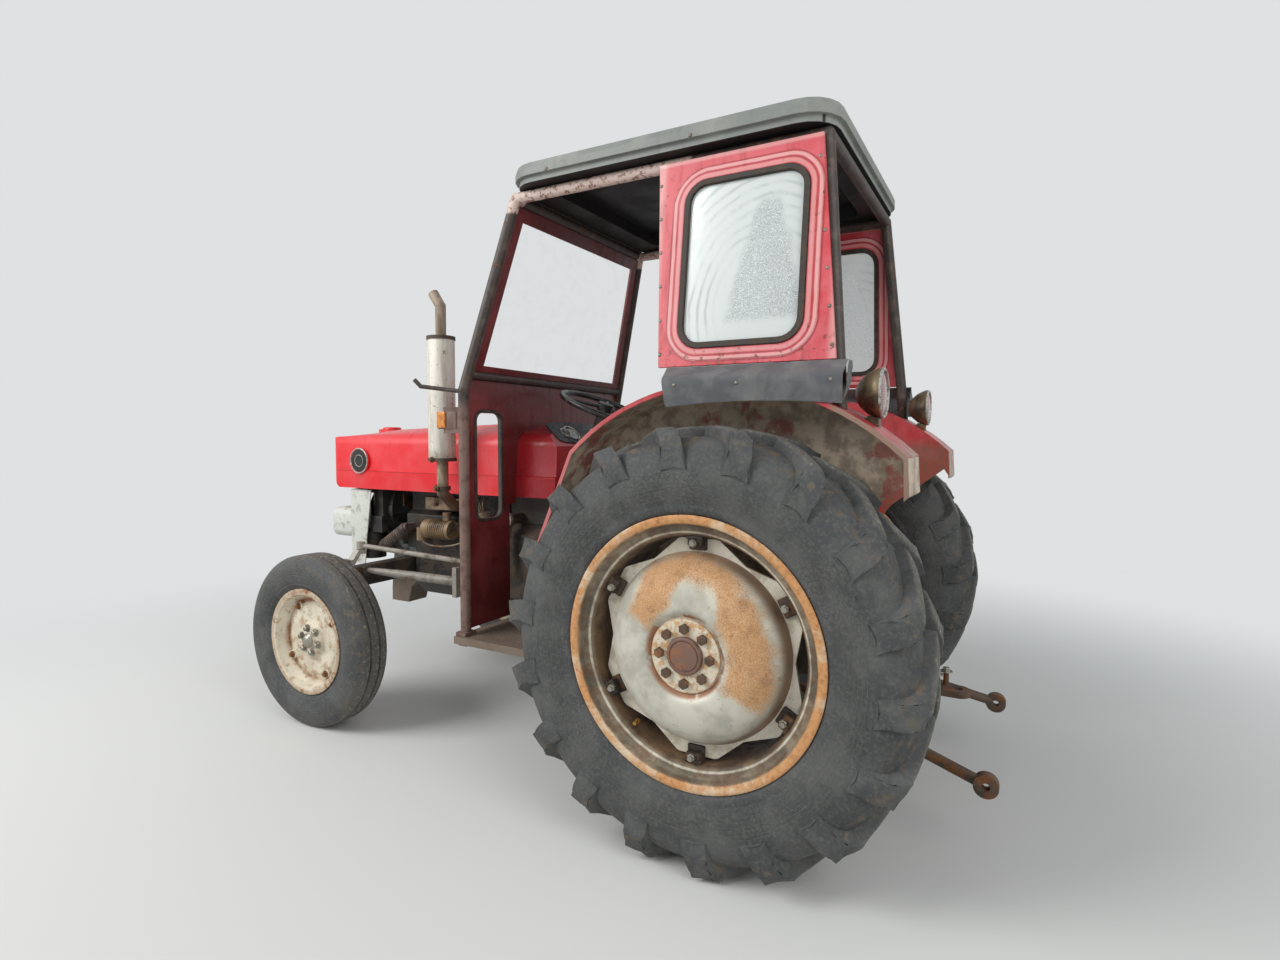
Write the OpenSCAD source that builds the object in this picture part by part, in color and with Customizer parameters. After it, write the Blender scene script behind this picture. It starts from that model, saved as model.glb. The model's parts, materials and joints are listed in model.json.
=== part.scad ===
// Farm tractor of the 1960s with an open-backed weather cab.
// Millimetres. X points forward, Y to the driver's left, Z up, ground at Z = 0.
// Every piece is laid out from the rear axle, and seated() then moves the whole
// machine so that the middle of its length lies over the origin.

/* [Stance] */
// Distance between the front and rear axles
wheelbase = 1829; // [1790:1:1870]
// Distance between the middles of the rear tyres
rear_track = 1410; // [1380:2:1500]
// Distance between the middles of the front tyres
front_track = 1312; // [1300:2:1360]
// How far the nose lies ahead of the front axle
nose_overhang = 396; // [380:1:410]
// Length of the lamp pods ahead of the grille
pod_l = 150; // [140:1:170]
// How far the lower link ends reach behind the rear axle
rear_reach = 760; // [740:1:800]

/* [Rear wheels] */
// Radius over the lugs, which is also the rear axle's height
rear_tyre_r = 631; // [620:1:645]
// Width of the rear tyre's casing
rear_tyre_w = 316; // [300:2:330]
// Height of the lugs above the casing
lug_h = 34; // [20:1:40]
// Lugs on each side of the tread
lug_count = 18; // [16:1:22]
// Radius of the rear rim's flange
rear_rim_r = 386; // [376:1:396]
// Width of the rear rim over its flanges
rear_rim_w = 276; // [260:2:290]
// Radius of the wheel disc's dome
dome_r = 276; // [262:1:284]
// How far the hub's face stands out from the middle of the rear rim
hub_out = 145; // [125:1:148]

/* [Front wheels] */
// Radius of the front tyre, which is also the front axle's height
front_tyre_r = 364; // [355:1:372]
// Width of the front tyre
front_tyre_w = 165; // [150:1:170]
// Radius of the front rim's flange
front_rim_r = 224; // [218:1:230]
// Width of the front rim over its flanges
front_rim_w = 130; // [120:1:136]

/* [Front axle] */
// Distance of the king pins inside the front tyres' middles
kingpin_inset = 136; // [130:1:145]
// Height of the axle beam's top
beam_top = 642; // [630:1:650]
// Depth of the axle beam
beam_d = 88; // [70:1:95]
// Height of the steering ball joints above the axle beam
ball_rise = 90; // [84:1:98]
// Length of the steering arm, across the tractor
steer_arm = 100; // [90:1:110]

/* [Engine and transmission] */
// Length of the engine block
engine_l = 560; // [520:5:580]
// Width of the engine block
engine_w = 320; // [300:5:340]
// Height of the engine block's underside
sump_z = 470; // [450:5:500]
// Height of the engine's top
engine_top = 985; // [950:5:1000]
// Half width of the gearbox casing
gearbox_half_w = 190; // [180:1:200]
// Radius of the axle tubes at the wheel end
trumpet_r = 74; // [65:1:85]

/* [Bonnet] */
// Half width of the bonnet at its crease
bonnet_half_w = 266; // [255:1:272]
// Height of the bonnet's lower edge
bonnet_bottom = 976; // [970:1:985]
// Height of the pressed crease above the lower edge
crease_rise = 85; // [70:1:100]
// How far the bonnet's top slopes down to the nose
nose_drop = 36; // [24:1:48]
// Height of the bonnet's top at the dash
dash_top = 1264; // [1250:1:1275]
// How far the bonnet reaches back behind the engine
bonnet_overlap = 134; // [120:1:140]
// Thickness of the sheet metal
sheet = 5; // [4:0.5:7]

/* [Cab] */
// Distance of the cab's waist inside the fenders' outer edges
waist_inset = 80; // [70:1:90]
// How far each side of the cab leans in from the waist to the roof
head_inset = 90; // [75:1:100]
// Height of the waist rail above the fenders' crests
waist_rise = 69; // [60:1:80]
// Height of the rails under the roof
head_z = 2106; // [2080:1:2140]
// How far the front posts stand behind the engine
post_back = 194; // [184:1:204]
// How far the front posts lean back from the waist to the roof
screen_rake = 185; // [160:1:210]
// Distance of the rear posts behind the rear axle at the roof
rear_head_x = 265; // [250:1:290]
// Distance of the rear posts behind the rear axle at the waist
rear_waist_x = 332; // [315:1:345]
// Radius of the post tube
post_r = 20; // [17:0.5:24]
// Length of the side panel at the roof
panel_l = 529; // [515:1:545]
// Thickness of the cab's panels
panel_t = 12; // [8:1:16]
// Thickness of the window glass
glass_t = 6; // [4:0.5:8]
// How far the roof stands out beyond the posts on each side
roof_overhang = 75; // [60:1:90]
// Depth of the roof's rim
roof_rim = 76; // [60:1:90]

/* [Fenders] */
// Radius of the fender's crest from the rear axle
fender_r = 762; // [745:1:780]
// Distance of the fender's wall from the middle
fender_wall_y = 430; // [420:1:440]
// Distance of the fender's outer edge from the middle
fender_edge_y = 640; // [620:1:660]

/* [Exhaust] */
// Gap between the silencer and the bonnet's side
stack_gap = 24; // [22:1:32]
// Distance of the exhaust stack ahead of the engine's rear
stack_ahead = 132; // [120:1:146]
// Radius of the silencer
silencer_r = 57; // [48:1:60]
// Height of the stack's tip
stack_top = 1850; // [1800:5:1900]

/* [Steering] */
// Radius of the steering wheel
wheel_r = 203; // [190:1:215]
// Height of the steering wheel's hub above the dash
wheel_rise = 88; // [76:1:106]
// How far the steering wheel's hub lies behind the engine
wheel_back = 474; // [464:1:489]
// Lean of the steering column from upright
column_lean = 22; // [15:1:28]

/* [Linkage] */
// Distance between the lower link balls
link_span = 720; // [680:2:740]
// Height of the lower link balls
link_end_z = 234; // [220:1:260]
// Radius of the lower link ball's hole
link_bore_r = 11.2; // [11:0.1:14.3]
// Radius of the top link's pin hole
top_bore_r = 9.7; // [9.6:0.1:12.9]
// Radius of the drawbar's pin hole
drawbar_bore_r = 13; // [11:0.5:16]
// Radius of the power take-off shaft
pto_r = 17.4; // [17:0.1:17.5]

/* [Hidden] */
$fn = 48;

// Lengths, heights and widths that follow from the sizes above
nose_x = wheelbase + nose_overhang;
grille_front = nose_x - 105;
grille_rear = nose_x - 250;
front_reach = grille_front + pod_l;
engine_rear = wheelbase - 5 - engine_l;
engine_front = engine_rear + engine_l;
bonnet_rear = engine_rear - bonnet_overlap;
bonnet_crease = bonnet_bottom + crease_rise;
nose_top = dash_top - nose_drop;
grille_half_w = bonnet_half_w - 21;
fender_crest = rear_tyre_r + fender_r;
waist_half_w = fender_edge_y - waist_inset;
head_half_w = waist_half_w - head_inset;
roof_half_w = head_half_w + roof_overhang;
waist_z = fender_crest + waist_rise;
front_post_x = engine_rear - post_back;
front_head_x = front_post_x - screen_rake;
stack_x = engine_rear + stack_ahead;
stack_y = bonnet_half_w + stack_gap + silencer_r;
wheel_x = engine_rear - wheel_back;
wheel_z = dash_top + wheel_rise;

// Shift that puts the middle of the tractor's length over the origin
frame_x = -(front_reach - rear_reach) / 2;
// Clearance of a pin in its hole, and of a piece on its seat
run_gap = 0.3;
// Gap between the bonnet and what stands around it
lid_gap = 8;
// Cylinder cut past a face, so that a hole is clean
past = 1;

kingpin_y = front_track / 2 - kingpin_inset;
ball_z = beam_top + ball_rise;
ball_y = kingpin_y - steer_arm;
ball_x = wheelbase + 6;
kingpin_r = 17;
sleeve_r = 33;
sleeve_top = beam_top + 2;
sleeve_bottom = 440;
drop_x = engine_rear - 114;
drop_y = 255;
drop_pin_z = ball_z - 64;
drop_shaft_z = 870;
rod_front = [wheelbase - 51.4, kingpin_y - 92, beam_top - 17];
rod_rear = [engine_rear + 88, engine_w / 2 + 142, 594];

// Length that the sump stands back from the engine's front, for the axle
axle_room = 56;
block_z = beam_top + 50;
grille_bottom = 600;
fan_x = engine_front + 34;
radiator_x = fan_x + 72;
radiator_z = beam_top + 118;
// Oil-bath air cleaner under the radiator
bath = [grille_front - 78, 176, beam_top - 14];

gearbox_l = 420;
gearbox_bottom = 455;
gearbox_top = 835;
casing_rear = -190;
casing_front = 150;
casing_half_w = 200;
casing_foot_w = 165;
casing_bottom = 400;
pto_z = 560;
bonnet_hinge = [nose_x - 95, bonnet_bottom + 10];
bend_swell = 1.03;
rear_hub_y = rear_track / 2 + 80;
// Brake drum's casing, which the raised lower links pass under
drum_r = 137;

link_pivot = [30, 205, 428];
link_end = [-(rear_reach - 34), link_span / 2, link_end_z];
link_clevis_t = 0.52;
lift_shaft = [-50, 930];
lift_arm_end = [-263, 785];
lift_arm_y = 235;
lift_arm_t = 20;
lift_eye_t = 16;

function arc(c, r, a0, a1, n = 6) =
    [for (i = [0 : n]) c + r * [cos(a0 + (a1 - a0) * i / n), sin(a0 + (a1 - a0) * i / n)]];
function round_rect(w, h, r, n = 5) = concat(
    arc([w / 2 - r, h / 2 - r], r, 0, 90, n), arc([-w / 2 + r, h / 2 - r], r, 90, 180, n),
    arc([-w / 2 + r, -h / 2 + r], r, 180, 270, n), arc([w / 2 - r, -h / 2 + r], r, 270, 360, n));
function between(a, b, t) = a + (b - a) * t;

module seated() translate([frame_x, 0, 0]) children();
module both_sides() {
    children();
    mirror([0, 1, 0]) children();
}
module on_side(side) {
    if (side > 0) children();
    else mirror([0, 1, 0]) children();
}
// Round bar from point a to point b
module bar(a, b, r) {
    v = b - a;
    translate(a) rotate([0, acos(v[2] / norm(v)), atan2(v[1], v[0])]) cylinder(h = norm(v), r = r);
}
// Bars joined through a list of points, with a small weld at each inner point
module bent_bar(points, r) {
    for (i = [0 : len(points) - 2]) bar(points[i], points[i + 1], r);
    for (i = [1 : 1 : len(points) - 2]) translate(points[i]) sphere(r = r * bend_swell);
}
// Cylinder along Y, centred on a point
module cross_pin(c, r, l) translate(c) rotate([90, 0, 0]) cylinder(h = l, r = r, center = true);
// Plate drawn in the X-Z plane, from y to y + t
module side_plate(y, t) translate([0, y + t, 0]) rotate([90, 0, 0]) linear_extrude(t) children();
// Solid drawn in the Y-Z plane, from x to x + l
module long_section(x, l) translate([x, 0, 0]) rotate([90, 0, 90]) linear_extrude(l) children();

// Cast engine block with its sump, head and bell housing flange
module engine_block() color("#1d1d1f") seated() {
    half = engine_w / 2;
    long_section(engine_rear, engine_l) polygon([[-half, block_z], [half, block_z],
        [half, engine_top - 130], [half - 35, engine_top - 110], [half - 35, engine_top],
        [-half + 35, engine_top], [-half + 35, engine_top - 110], [-half, engine_top - 130]]);
    long_section(engine_rear, engine_l - axle_room) polygon([[-half, block_z + past], [-half, sump_z + 60],
        [-half + 50, sump_z], [half - 50, sump_z], [half, sump_z + 60], [half, block_z + past]]);
    bar([engine_front - past, 0, fan_z], [fan_x - 20.3, 0, fan_z], 30);
    bar([engine_front, 0, fan_z], [fan_x + 2, 0, fan_z], fan_bore_r - run_gap);
}

// Cast support that carries the front axle's pivot and the radiator
module front_support() color("#8b8f8e") seated() {
    rear = engine_front - axle_room + run_gap;
    top = block_z - run_gap;
    side_plate(-110, 220) polygon([[rear, beam_top + 10], [rear, top], [engine_front + run_gap, top],
        [radiator_x - 18, top], [radiator_x - 10, radiator_z], [grille_front - 50, radiator_z],
        [grille_front - 18 - run_gap, beam_top + 93], [grille_front - 18 - run_gap, beam_top + 22],
        [grille_front - 80, beam_top + 10]]);
    side_plate(-60, 120)
        polygon([[rear, beam_top + 12], [rear + 24, beam_top + 12], [rear + 24, 500], [rear, 500]]);
    side_plate(-60, 120) polygon([[wheelbase + 36, beam_top + 12], [wheelbase + 36, 500],
        [wheelbase + 76, 470], [wheelbase + 103, 385], [wheelbase + 221, 385], [wheelbase + 221, 450],
        [wheelbase + 201, beam_top + 12]]);
    bar([rear + 20, 0, beam_top - beam_d / 2], [wheelbase + 40, 0, beam_top - beam_d / 2], 20);
}

module radiator() color("#262626") seated() {
    z0 = radiator_z + run_gap;
    translate([radiator_x, -220, z0]) cube([75, 440, 80]);
    translate([radiator_x + 8, -205, z0 + 78]) cube([60, 410, 232]);
    translate([radiator_x - 10, -225, z0 + 308]) cube([95, 450, 60]);
    difference() {
        bar([radiator_x - 26, 0, fan_z], [radiator_x + 12, 0, fan_z], fan_r + 22);
        bar([radiator_x - 30, 0, fan_z], [radiator_x - past, 0, fan_z], fan_r + 16);
        translate([radiator_x - 30, -200, z0 - 100]) cube([60, 400, 100]);
    }
    translate([bath[0] - 32, 110 + run_gap, beam_top + 18]) cube([50, 30, 60]);
    bar(bath, [bath[0], bath[1], radiator_z - 4], 58);
}

// Four-bladed fan on its pulley
fan_z = engine_top - 119;
fan_r = 158;
fan_bore_r = 14;
module fan() color("#3a3432") seated() {
    difference() {
        bar([fan_x - 20, 0, fan_z], [fan_x + 20, 0, fan_z], 48);
        bar([fan_x - 21, 0, fan_z], [fan_x + 4, 0, fan_z], fan_bore_r);
    }
    for (i = [0 : 3]) translate([fan_x + 8, 0, fan_z]) rotate([i * 90 + 20, 0, 0]) rotate([0, 0, 24])
        translate([-3, -34, 40]) cube([6, 68, fan_r - 46]);
}

// Pale pressed side sheets of the grille with its upright bars between them
bar_count = 15;
hinge_y = 200;
hinge_pin_r = 8;
module grille() color("#d9dcd4") seated() {
    top = bonnet_bottom - lid_gap;
    rail_x = grille_front - 18;
    both_sides() {
        side_plate(grille_half_w - sheet, sheet) polygon([[grille_rear, top], [grille_front, top],
            [grille_front, 700], [grille_front - 25, grille_bottom], [grille_rear + 50, grille_bottom],
            [grille_rear + 40, 700]]);
        side_plate(hinge_y - 10, 8) polygon([[rail_x, top - 20], [grille_front, top - 20],
            [bonnet_hinge[0] + 12, bonnet_hinge[1] - 12], [bonnet_hinge[0] + 12, bonnet_hinge[1] + 10],
            [bonnet_hinge[0] - 10, bonnet_hinge[1] + 10], [rail_x, top]]);
    }
    cross_pin([bonnet_hinge[0], 0, bonnet_hinge[1]], hinge_pin_r, 2 * hinge_y + 24);
    for (z = [beam_top + 20, top - 26]) translate([rail_x, -grille_half_w + 1, z])
        cube([18, 2 * grille_half_w - 2, 26]);
    pitch = (2 * grille_half_w - 30) / bar_count;
    for (i = [0 : bar_count]) translate([grille_front - 12, -grille_half_w + 13 + i * pitch, beam_top + 38])
        cube([12, 4, top - 18 - beam_top - 38]);
}

// Rounded lamp pods low on each side of the grille
pod_y = grille_half_w - 77;
pod_w = 152;
pod_h = 146;
pod_z = 798;
module headlamps() color("#e3e4dc") seated() both_sides() {
    difference() {
        translate([grille_front + 0.3, pod_y, pod_z]) rotate([90, 0, 90])
            linear_extrude(front_reach - grille_front - 12) polygon(round_rect(pod_w, pod_h, 40));
        translate([front_reach - 30, pod_y, pod_z]) rotate([0, 90, 0]) cylinder(h = 60, r = 60);
    }
    translate([front_reach - 36, pod_y, pod_z]) rotate([0, 90, 0]) intersection() {
        cylinder(h = 36, r = 59);
        translate([0, 0, -78]) sphere(r = 114);
    }
}

// Injection pump, dynamo, filters and manifold along the engine's left side
module engine_units() color("#6b5a48") seated() translate([engine_rear, 0, 0]) {
    wall = engine_w / 2 + run_gap;
    head = wall - 35;
    bar([211, wall + 46, 800], [346, wall + 46, 800], 44);
    bar([344, wall + 46, 800], [376, wall + 46, 800], 45.5);
    translate([226, wall, 770]) cube([110, 40, 60]);
    bar([256, wall + 40, 800], [256, wall + 40, 880], 20);
    bar([426, wall + 30, 740], [426, wall + 30, 800], 26);
    translate([408, wall, 745]) cube([36, 30, 50]);
    translate([66, head, engine_top - 95]) cube([330, 70, 55]);
    bar([36, wall + 50, 790], [36, wall + 50, 895], 38);
    translate([21, wall, 815]) cube([30, 50, 30]);
    bar([56, -wall - 48, 700], [56, -wall - 48, 810], 42);
    translate([38, -wall - 30, 740]) cube([36, 30, 40]);
    bar([216, -wall - 57, 760], [396, -wall - 57, 760], 55);
    translate([236, -wall - 40, 730]) cube([140, 40, 50]);
}

module hoses() color("#4b443d") seated() {
    wall = engine_w / 2 + run_gap;
    front = engine_front;
    foot = bath + [-58 - run_gap, 0, 62];
    bent_bar([foot, foot - [28, 0, 0], foot + [-57, 28, 16], [front + 16, 204, 758], [front - 34, 204, 790],
        [front - 34, wall, 790]], 26);
    bent_bar([[radiator_x - 10.3, 60, 1096], [front + 46, 60, 1096], [front - 34, 60, 1050],
        [front - 34, 60, engine_top + run_gap]], 22);
}

// Upright stack: elbow from the manifold, clamp, silencer, tail pipe and tip
module exhaust() color("#e6e2d6") seated() {
    c = [stack_x, stack_y];
    face = engine_w / 2 - 35 + 70 + 2 * run_gap;
    bend = stack_top - 70;
    low = engine_top + 137;
    high = stack_top - 198;
    neck = engine_top;
    tip = [c[0] + 42, c[1], stack_top - 12];
    lean = (tip - [c[0], c[1], bend]) / norm(tip - [c[0], c[1], bend]);
    difference() {
        bent_bar([[stack_x - 8, face, neck - 68], [stack_x - 8, face + 40, neck - 68],
            [stack_x - 3, stack_y - 62, neck - 60], [c[0], c[1], neck], [c[0], c[1], neck + 15]], 24);
    }
    translate([c[0], c[1], 0]) rotate_extrude() polygon([[0, neck], [24, neck], [24, neck + 13],
        [31, neck + 13], [31, neck + 27], [24, neck + 27], [24, low], [silencer_r - 9, low],
        [silencer_r, low + 9],
        [silencer_r, high - 9], [silencer_r - 9, high], [22, high], [22, bend], [0, bend]]);
    difference() {
        union() {
            translate([c[0], c[1], bend]) sphere(r = 22.5);
            bar([c[0], c[1], bend], tip, 22);
        }
        bar(tip - 34 * lean, tip + 6 * lean, 18);
    }
}

// Outline of the bonnet across the tractor, drawn w inside the outer face
function bonnet_section(w, bottom) = let (h = bonnet_half_w - w, top = dash_top - w) concat(
    [[-h + 2, bottom], [h - 2, bottom], [h, bonnet_crease], [h - 8, bonnet_crease + 6]],
    arc([h - 72, top - 76], 58, 0, 80, 5), [[0, top]],
    arc([-h + 72, top - 76], 58, 100, 180, 5),
    [[-h + 8, bonnet_crease + 6], [-h, bonnet_crease]]);
// Outline of the nose from above
function nose_plan(w, rear) = concat([[rear, -bonnet_half_w - past], [nose_x - 325, -bonnet_half_w - past]],
    arc([nose_x - 80 - w, -bonnet_half_w + 90 + w], 80, -80, 0, 5),
    arc([nose_x - 80 - w, bonnet_half_w - 90 - w], 80, 0, 80, 5),
    [[nose_x - 325, bonnet_half_w + past], [rear, bonnet_half_w + past]]);
// Outline of the bonnet from the side
function bonnet_side(w, rear, bottom) = concat(
    [[rear, bottom], [nose_x - 75 - w, bottom], [nose_x - 75 - w, bonnet_bottom + 0.8 * w],
        [nose_x - 30 - w, bonnet_bottom + 26 + 0.8 * w]],
    arc([nose_x - 34 - w, nose_top - 34 - w], 32, 0, 80, 4),
    [[rear, dash_top - w]]);
module bonnet_form(w, rear, bottom) intersection() {
    long_section(rear, nose_x - rear + past) polygon(bonnet_section(w, bottom));
    translate([0, 0, bottom - past]) linear_extrude(400) polygon(nose_plan(w, rear));
    side_plate(-bonnet_half_w - 10, 2 * bonnet_half_w + 20) polygon(bonnet_side(w, rear, bottom));
}

// One-piece tilting bonnet with its filler cap and side discs
cap_x = nose_x - 125;
disc_x = nose_x - 198;
disc_z = bonnet_bottom + 134;
disc_r = 62;
module bonnet() color("#c8202c") seated() {
    difference() {
        bonnet_form(0, bonnet_rear, bonnet_bottom);
        bonnet_form(sheet, bonnet_rear - past, bonnet_bottom - past);
        both_sides() translate([nose_x - 112, hinge_y - 14, bonnet_bottom - past]) cube([70, 14, 46]);
    }
    translate([cap_x, 0, nose_top - 6]) cylinder(h = 28, r = 46);
    both_sides() {
        cross_pin([disc_x, bonnet_half_w - 3, disc_z], disc_r, 12);
        difference() {
            side_plate(hinge_y + run_gap, 8) polygon([[bonnet_hinge[0] - 13, bonnet_hinge[1] - 9],
                [bonnet_hinge[0] + 12, bonnet_hinge[1] - 9], [nose_x - 36, bonnet_bottom + 25],
                [nose_x - 20, bonnet_bottom + 90], [bonnet_hinge[0] - 13, bonnet_hinge[1] + 14]]);
            cross_pin([bonnet_hinge[0], hinge_y, bonnet_hinge[1]], hinge_pin_r + run_gap, 60);
        }
    }
}

// Closed cowl over the tank, with the sloping dash at its back
cowl_rear = engine_rear - 402;
module dash_cowl() color("#b81e28") seated() difference() {
    intersection() {
        long_section(cowl_rear, bonnet_rear - lid_gap - cowl_rear) polygon(bonnet_section(2, bonnet_bottom));
        side_plate(-300, 600) polygon([[cowl_rear, bonnet_bottom], [bonnet_rear, bonnet_bottom],
            [bonnet_rear, dash_top + 36], [cowl_rear + 120, dash_top + 36], [cowl_rear, dash_top - 74]]);
    }
    bar(column_foot - 60 * column_dir, column_head, 24 + run_gap);
}

column_dir = [-sin(column_lean), 0, cos(column_lean)];
column_head = [wheel_x, 0, wheel_z] - 14 * column_dir;
column_foot = [wheel_x, 0, wheel_z] - 400 * column_dir;
// Steering box on the gearbox with the column's tube and the drop arms' shaft
module steering_column() color("#35302d") seated() {
    bar(column_foot - 30 * column_dir, column_head - 22 * column_dir, 24);
    bar(column_foot, column_head, 13);
    translate([cowl_rear + 10, -115, gearbox_top + 10 + run_gap])
        cube([340, 230, bonnet_bottom - gearbox_top - 10 - 2 * run_gap]);
    cross_pin([drop_x, 0, drop_shaft_z], 21, 2 * (drop_y - 24));
}

module steering_wheel() color("#17171a") seated()
translate([wheel_x, 0, wheel_z]) rotate([0, -column_lean, 0]) {
    rotate_extrude() translate([wheel_r - 12, 0]) circle(r = 12);
    translate([0, 0, -13.5]) cylinder(h = 34, r = 33);
    for (a = [60, 180, 300]) rotate([0, 0, a]) bar([20, 0, 2], [wheel_r - 10, 0, 0], 7);
}

// Clutch housing, gearbox and centre casing in one line behind the engine
module transmission() color("#2a2523") seated() {
    front = engine_rear - run_gap;
    long_section(front - gearbox_l, gearbox_l)
        polygon([[-gearbox_half_w + 10, 520], [-110, gearbox_bottom], [110, gearbox_bottom],
            [gearbox_half_w - 10, 520], [gearbox_half_w - 10, 800], [120, gearbox_top + 10],
            [-120, gearbox_top + 10], [-gearbox_half_w + 10, 800]]);
    long_section(casing_front, front - gearbox_l - casing_front)
        polygon([[-160, 510], [-110, gearbox_bottom], [110, gearbox_bottom], [160, 510], [165, 780],
            [110, gearbox_top], [-110, gearbox_top], [-165, 780]]);
    difference() {
        union() {
            long_section(casing_rear, casing_front + 0.5 - casing_rear)
                polygon([[-casing_foot_w, casing_bottom], [casing_foot_w, casing_bottom], [casing_foot_w, 456],
                    [casing_half_w, 520], [casing_half_w, 800], [110, 900], [-110, 900],
                    [-casing_half_w, 800], [-casing_half_w, 520], [-casing_foot_w, 456]]);
            translate([-125, -130, 880]) cube([150, 260, 92]);
            translate([20, -95, 890]) cube([80, 190, 50]);
            bar([casing_rear - 14, 0, pto_z], [casing_rear + past, 0, pto_z], 52);
        }
        bar([casing_rear - 20, 0, pto_z], [casing_rear + 40, 0, pto_z], pto_r + 3 + run_gap);
        cross_pin([lift_shaft[0], 0, lift_shaft[1]], 22 + run_gap, 300);
    }
}

// Tapered tubes that carry the rear hubs, with the brake drums' casings
module rear_axle() color("#3b2f29") seated() both_sides() {
    translate([0, casing_half_w + run_gap, rear_tyre_r]) rotate([-90, 0, 0]) cylinder(h = 60, r = drum_r);
    translate([0, 250, rear_tyre_r]) rotate([-90, 0, 0])
        cylinder(h = rear_hub_y - 310, r1 = 105, r2 = trumpet_r);
    translate([0, rear_hub_y - 70, rear_tyre_r]) rotate([-90, 0, 0]) cylinder(h = 60, r = trumpet_r + 16);
    translate([-40, fender_wall_y - 60, rear_tyre_r + 78]) cube([80, 60 - run_gap, 75]);
}

module front_axle() color("#2b2826") seated() {
    difference() {
        union() {
            translate([wheelbase - 32, -kingpin_y + 20, beam_top - beam_d])
                cube([64, 2 * kingpin_y - 40, beam_d]);
            both_sides() translate([wheelbase, kingpin_y, sleeve_bottom])
                cylinder(h = sleeve_top - sleeve_bottom, r = sleeve_r);
        }
        both_sides() translate([wheelbase, kingpin_y, sleeve_bottom - past])
            cylinder(h = sleeve_top - sleeve_bottom + 2, r = kingpin_r + run_gap);
        bar([wheelbase - 40, 0, beam_top - beam_d / 2], [wheelbase + 40, 0, beam_top - beam_d / 2],
            20 + run_gap);
    }
    both_sides() translate([wheelbase - 50, kingpin_y - 118, beam_top - 45]) cube([20, 50, 44]);
}

// Forged rods from the axle's ends back to the engine's sides
module radius_rods() color("#8d8378") seated() both_sides() {
    hull() {
        translate(rod_front) rotate([0, 90, 0]) cylinder(h = 1, r = 12, $fn = 20);
        translate(between(rod_front, rod_rear, 0.35)) rotate([0, 90, 0]) cylinder(h = 1, r = 19, $fn = 20);
    }
    hull() {
        translate(between(rod_front, rod_rear, 0.35)) rotate([0, 90, 0]) cylinder(h = 1, r = 19, $fn = 20);
        translate(rod_rear + [12, 0, 0]) rotate([0, 90, 0]) cylinder(h = 1, r = 21, $fn = 20);
    }
    difference() {
        translate([rod_rear[0] - 12, engine_w / 2 + 0.3, 530]) cube([24, rod_rear[1] - engine_w / 2 + 30, 130]);
        translate([rod_rear[0] - 13, engine_w / 2 + 20, 505]) cube([26, rod_rear[1] - engine_w / 2 - 60, 70]);
    }
}

// Steered knuckle: king pin, spindle and the cranked arm on its top
module knuckle(side) color("#b7b4ab") seated() on_side(side) {
    kp = [wheelbase, kingpin_y];
    translate([kp[0], kp[1], front_tyre_r]) cylinder(h = sleeve_top + 40 - front_tyre_r, r = kingpin_r);
    translate([kp[0], kp[1], front_tyre_r - 26]) cylinder(h = sleeve_bottom - 0.6 - front_tyre_r + 26, r = 28);
    translate([kp[0], kp[1] - 10, front_tyre_r]) rotate([-90, 0, 0])
        cylinder(h = front_track / 2 - kp[1] + 46, r = 19);
    difference() {
        union() {
            translate([kp[0], kp[1], sleeve_top + 0.6]) cylinder(h = 36, r = 27);
            long_section(ball_x - 17, 34) polygon([[kp[1] - 10, sleeve_top + 8], [kp[1] - 10, sleeve_top + 30],
                [kp[1] - 44, sleeve_top + 32], [ball_y + 26, ball_z - 18], [ball_y, ball_z - 18],
                [ball_y, ball_z - 36], [ball_y + 16, ball_z - 36], [kp[1] - 52, sleeve_top + 8]]);
            translate([ball_x, ball_y, ball_z - 36]) cylinder(h = 18, r = 19);
        }
        translate([ball_x, ball_y, ball_z - 40]) cylinder(h = 30, r = 7);
    }
}

// Drag link with its two ball housings
module drag_link(side) color("#9a9186") seated() on_side(side) {
    front = [ball_x, ball_y, ball_z];
    rear = [drop_x, drop_y, drop_pin_z];
    bar(front, rear, 11);
    translate(front - [0, 0, 15]) cylinder(h = 32, r = 19);
    translate(front - [0, 0, 36]) cylinder(h = 24, r = 6.7);
    cross_pin(rear, 18, 26);
}

module drop_arm(side) color("#6f665c") seated() on_side(side) {
    y0 = drop_y - 38;
    difference() {
        union() {
            side_plate(y0, 16) polygon([[drop_x - 26, drop_shaft_z + 10], [drop_x + 26, drop_shaft_z + 10],
                [drop_x + 17, drop_pin_z - 12], [drop_x - 17, drop_pin_z - 12]]);
            cross_pin([drop_x, y0 + 8, drop_shaft_z], 34, 16);
        }
        cross_pin([drop_x, y0 + 8, drop_shaft_z], 21 + run_gap, 20);
    }
    cross_pin([drop_x, y0 + 17, drop_pin_z], 9, 12);
}

// Casing outline of a tyre, radius against distance across, from its bead on the rim
function casing_half(r, w, rim_r, rim_w) = [[rim_r - 21.7, rim_w / 2 - 18], [rim_r + 0.5, rim_w / 2 - 8.4],
    [rim_r + 4, rim_w / 2 - 4], [rim_r + (r - rim_r) * 0.22, w * 0.475], [rim_r + (r - rim_r) * 0.45, w * 0.5],
    [rim_r + (r - rim_r) * 0.68, w * 0.485], [rim_r + (r - rim_r) * 0.88, w * 0.42], [r, w * 0.3]];
function mirrored(p) = [for (i = [len(p) - 1 : -1 : 0]) [p[i][0], -p[i][1]]];
module wheel_turn(x, y, z) translate([x, y, z]) rotate([-90, 0, 0]) children();

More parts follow.
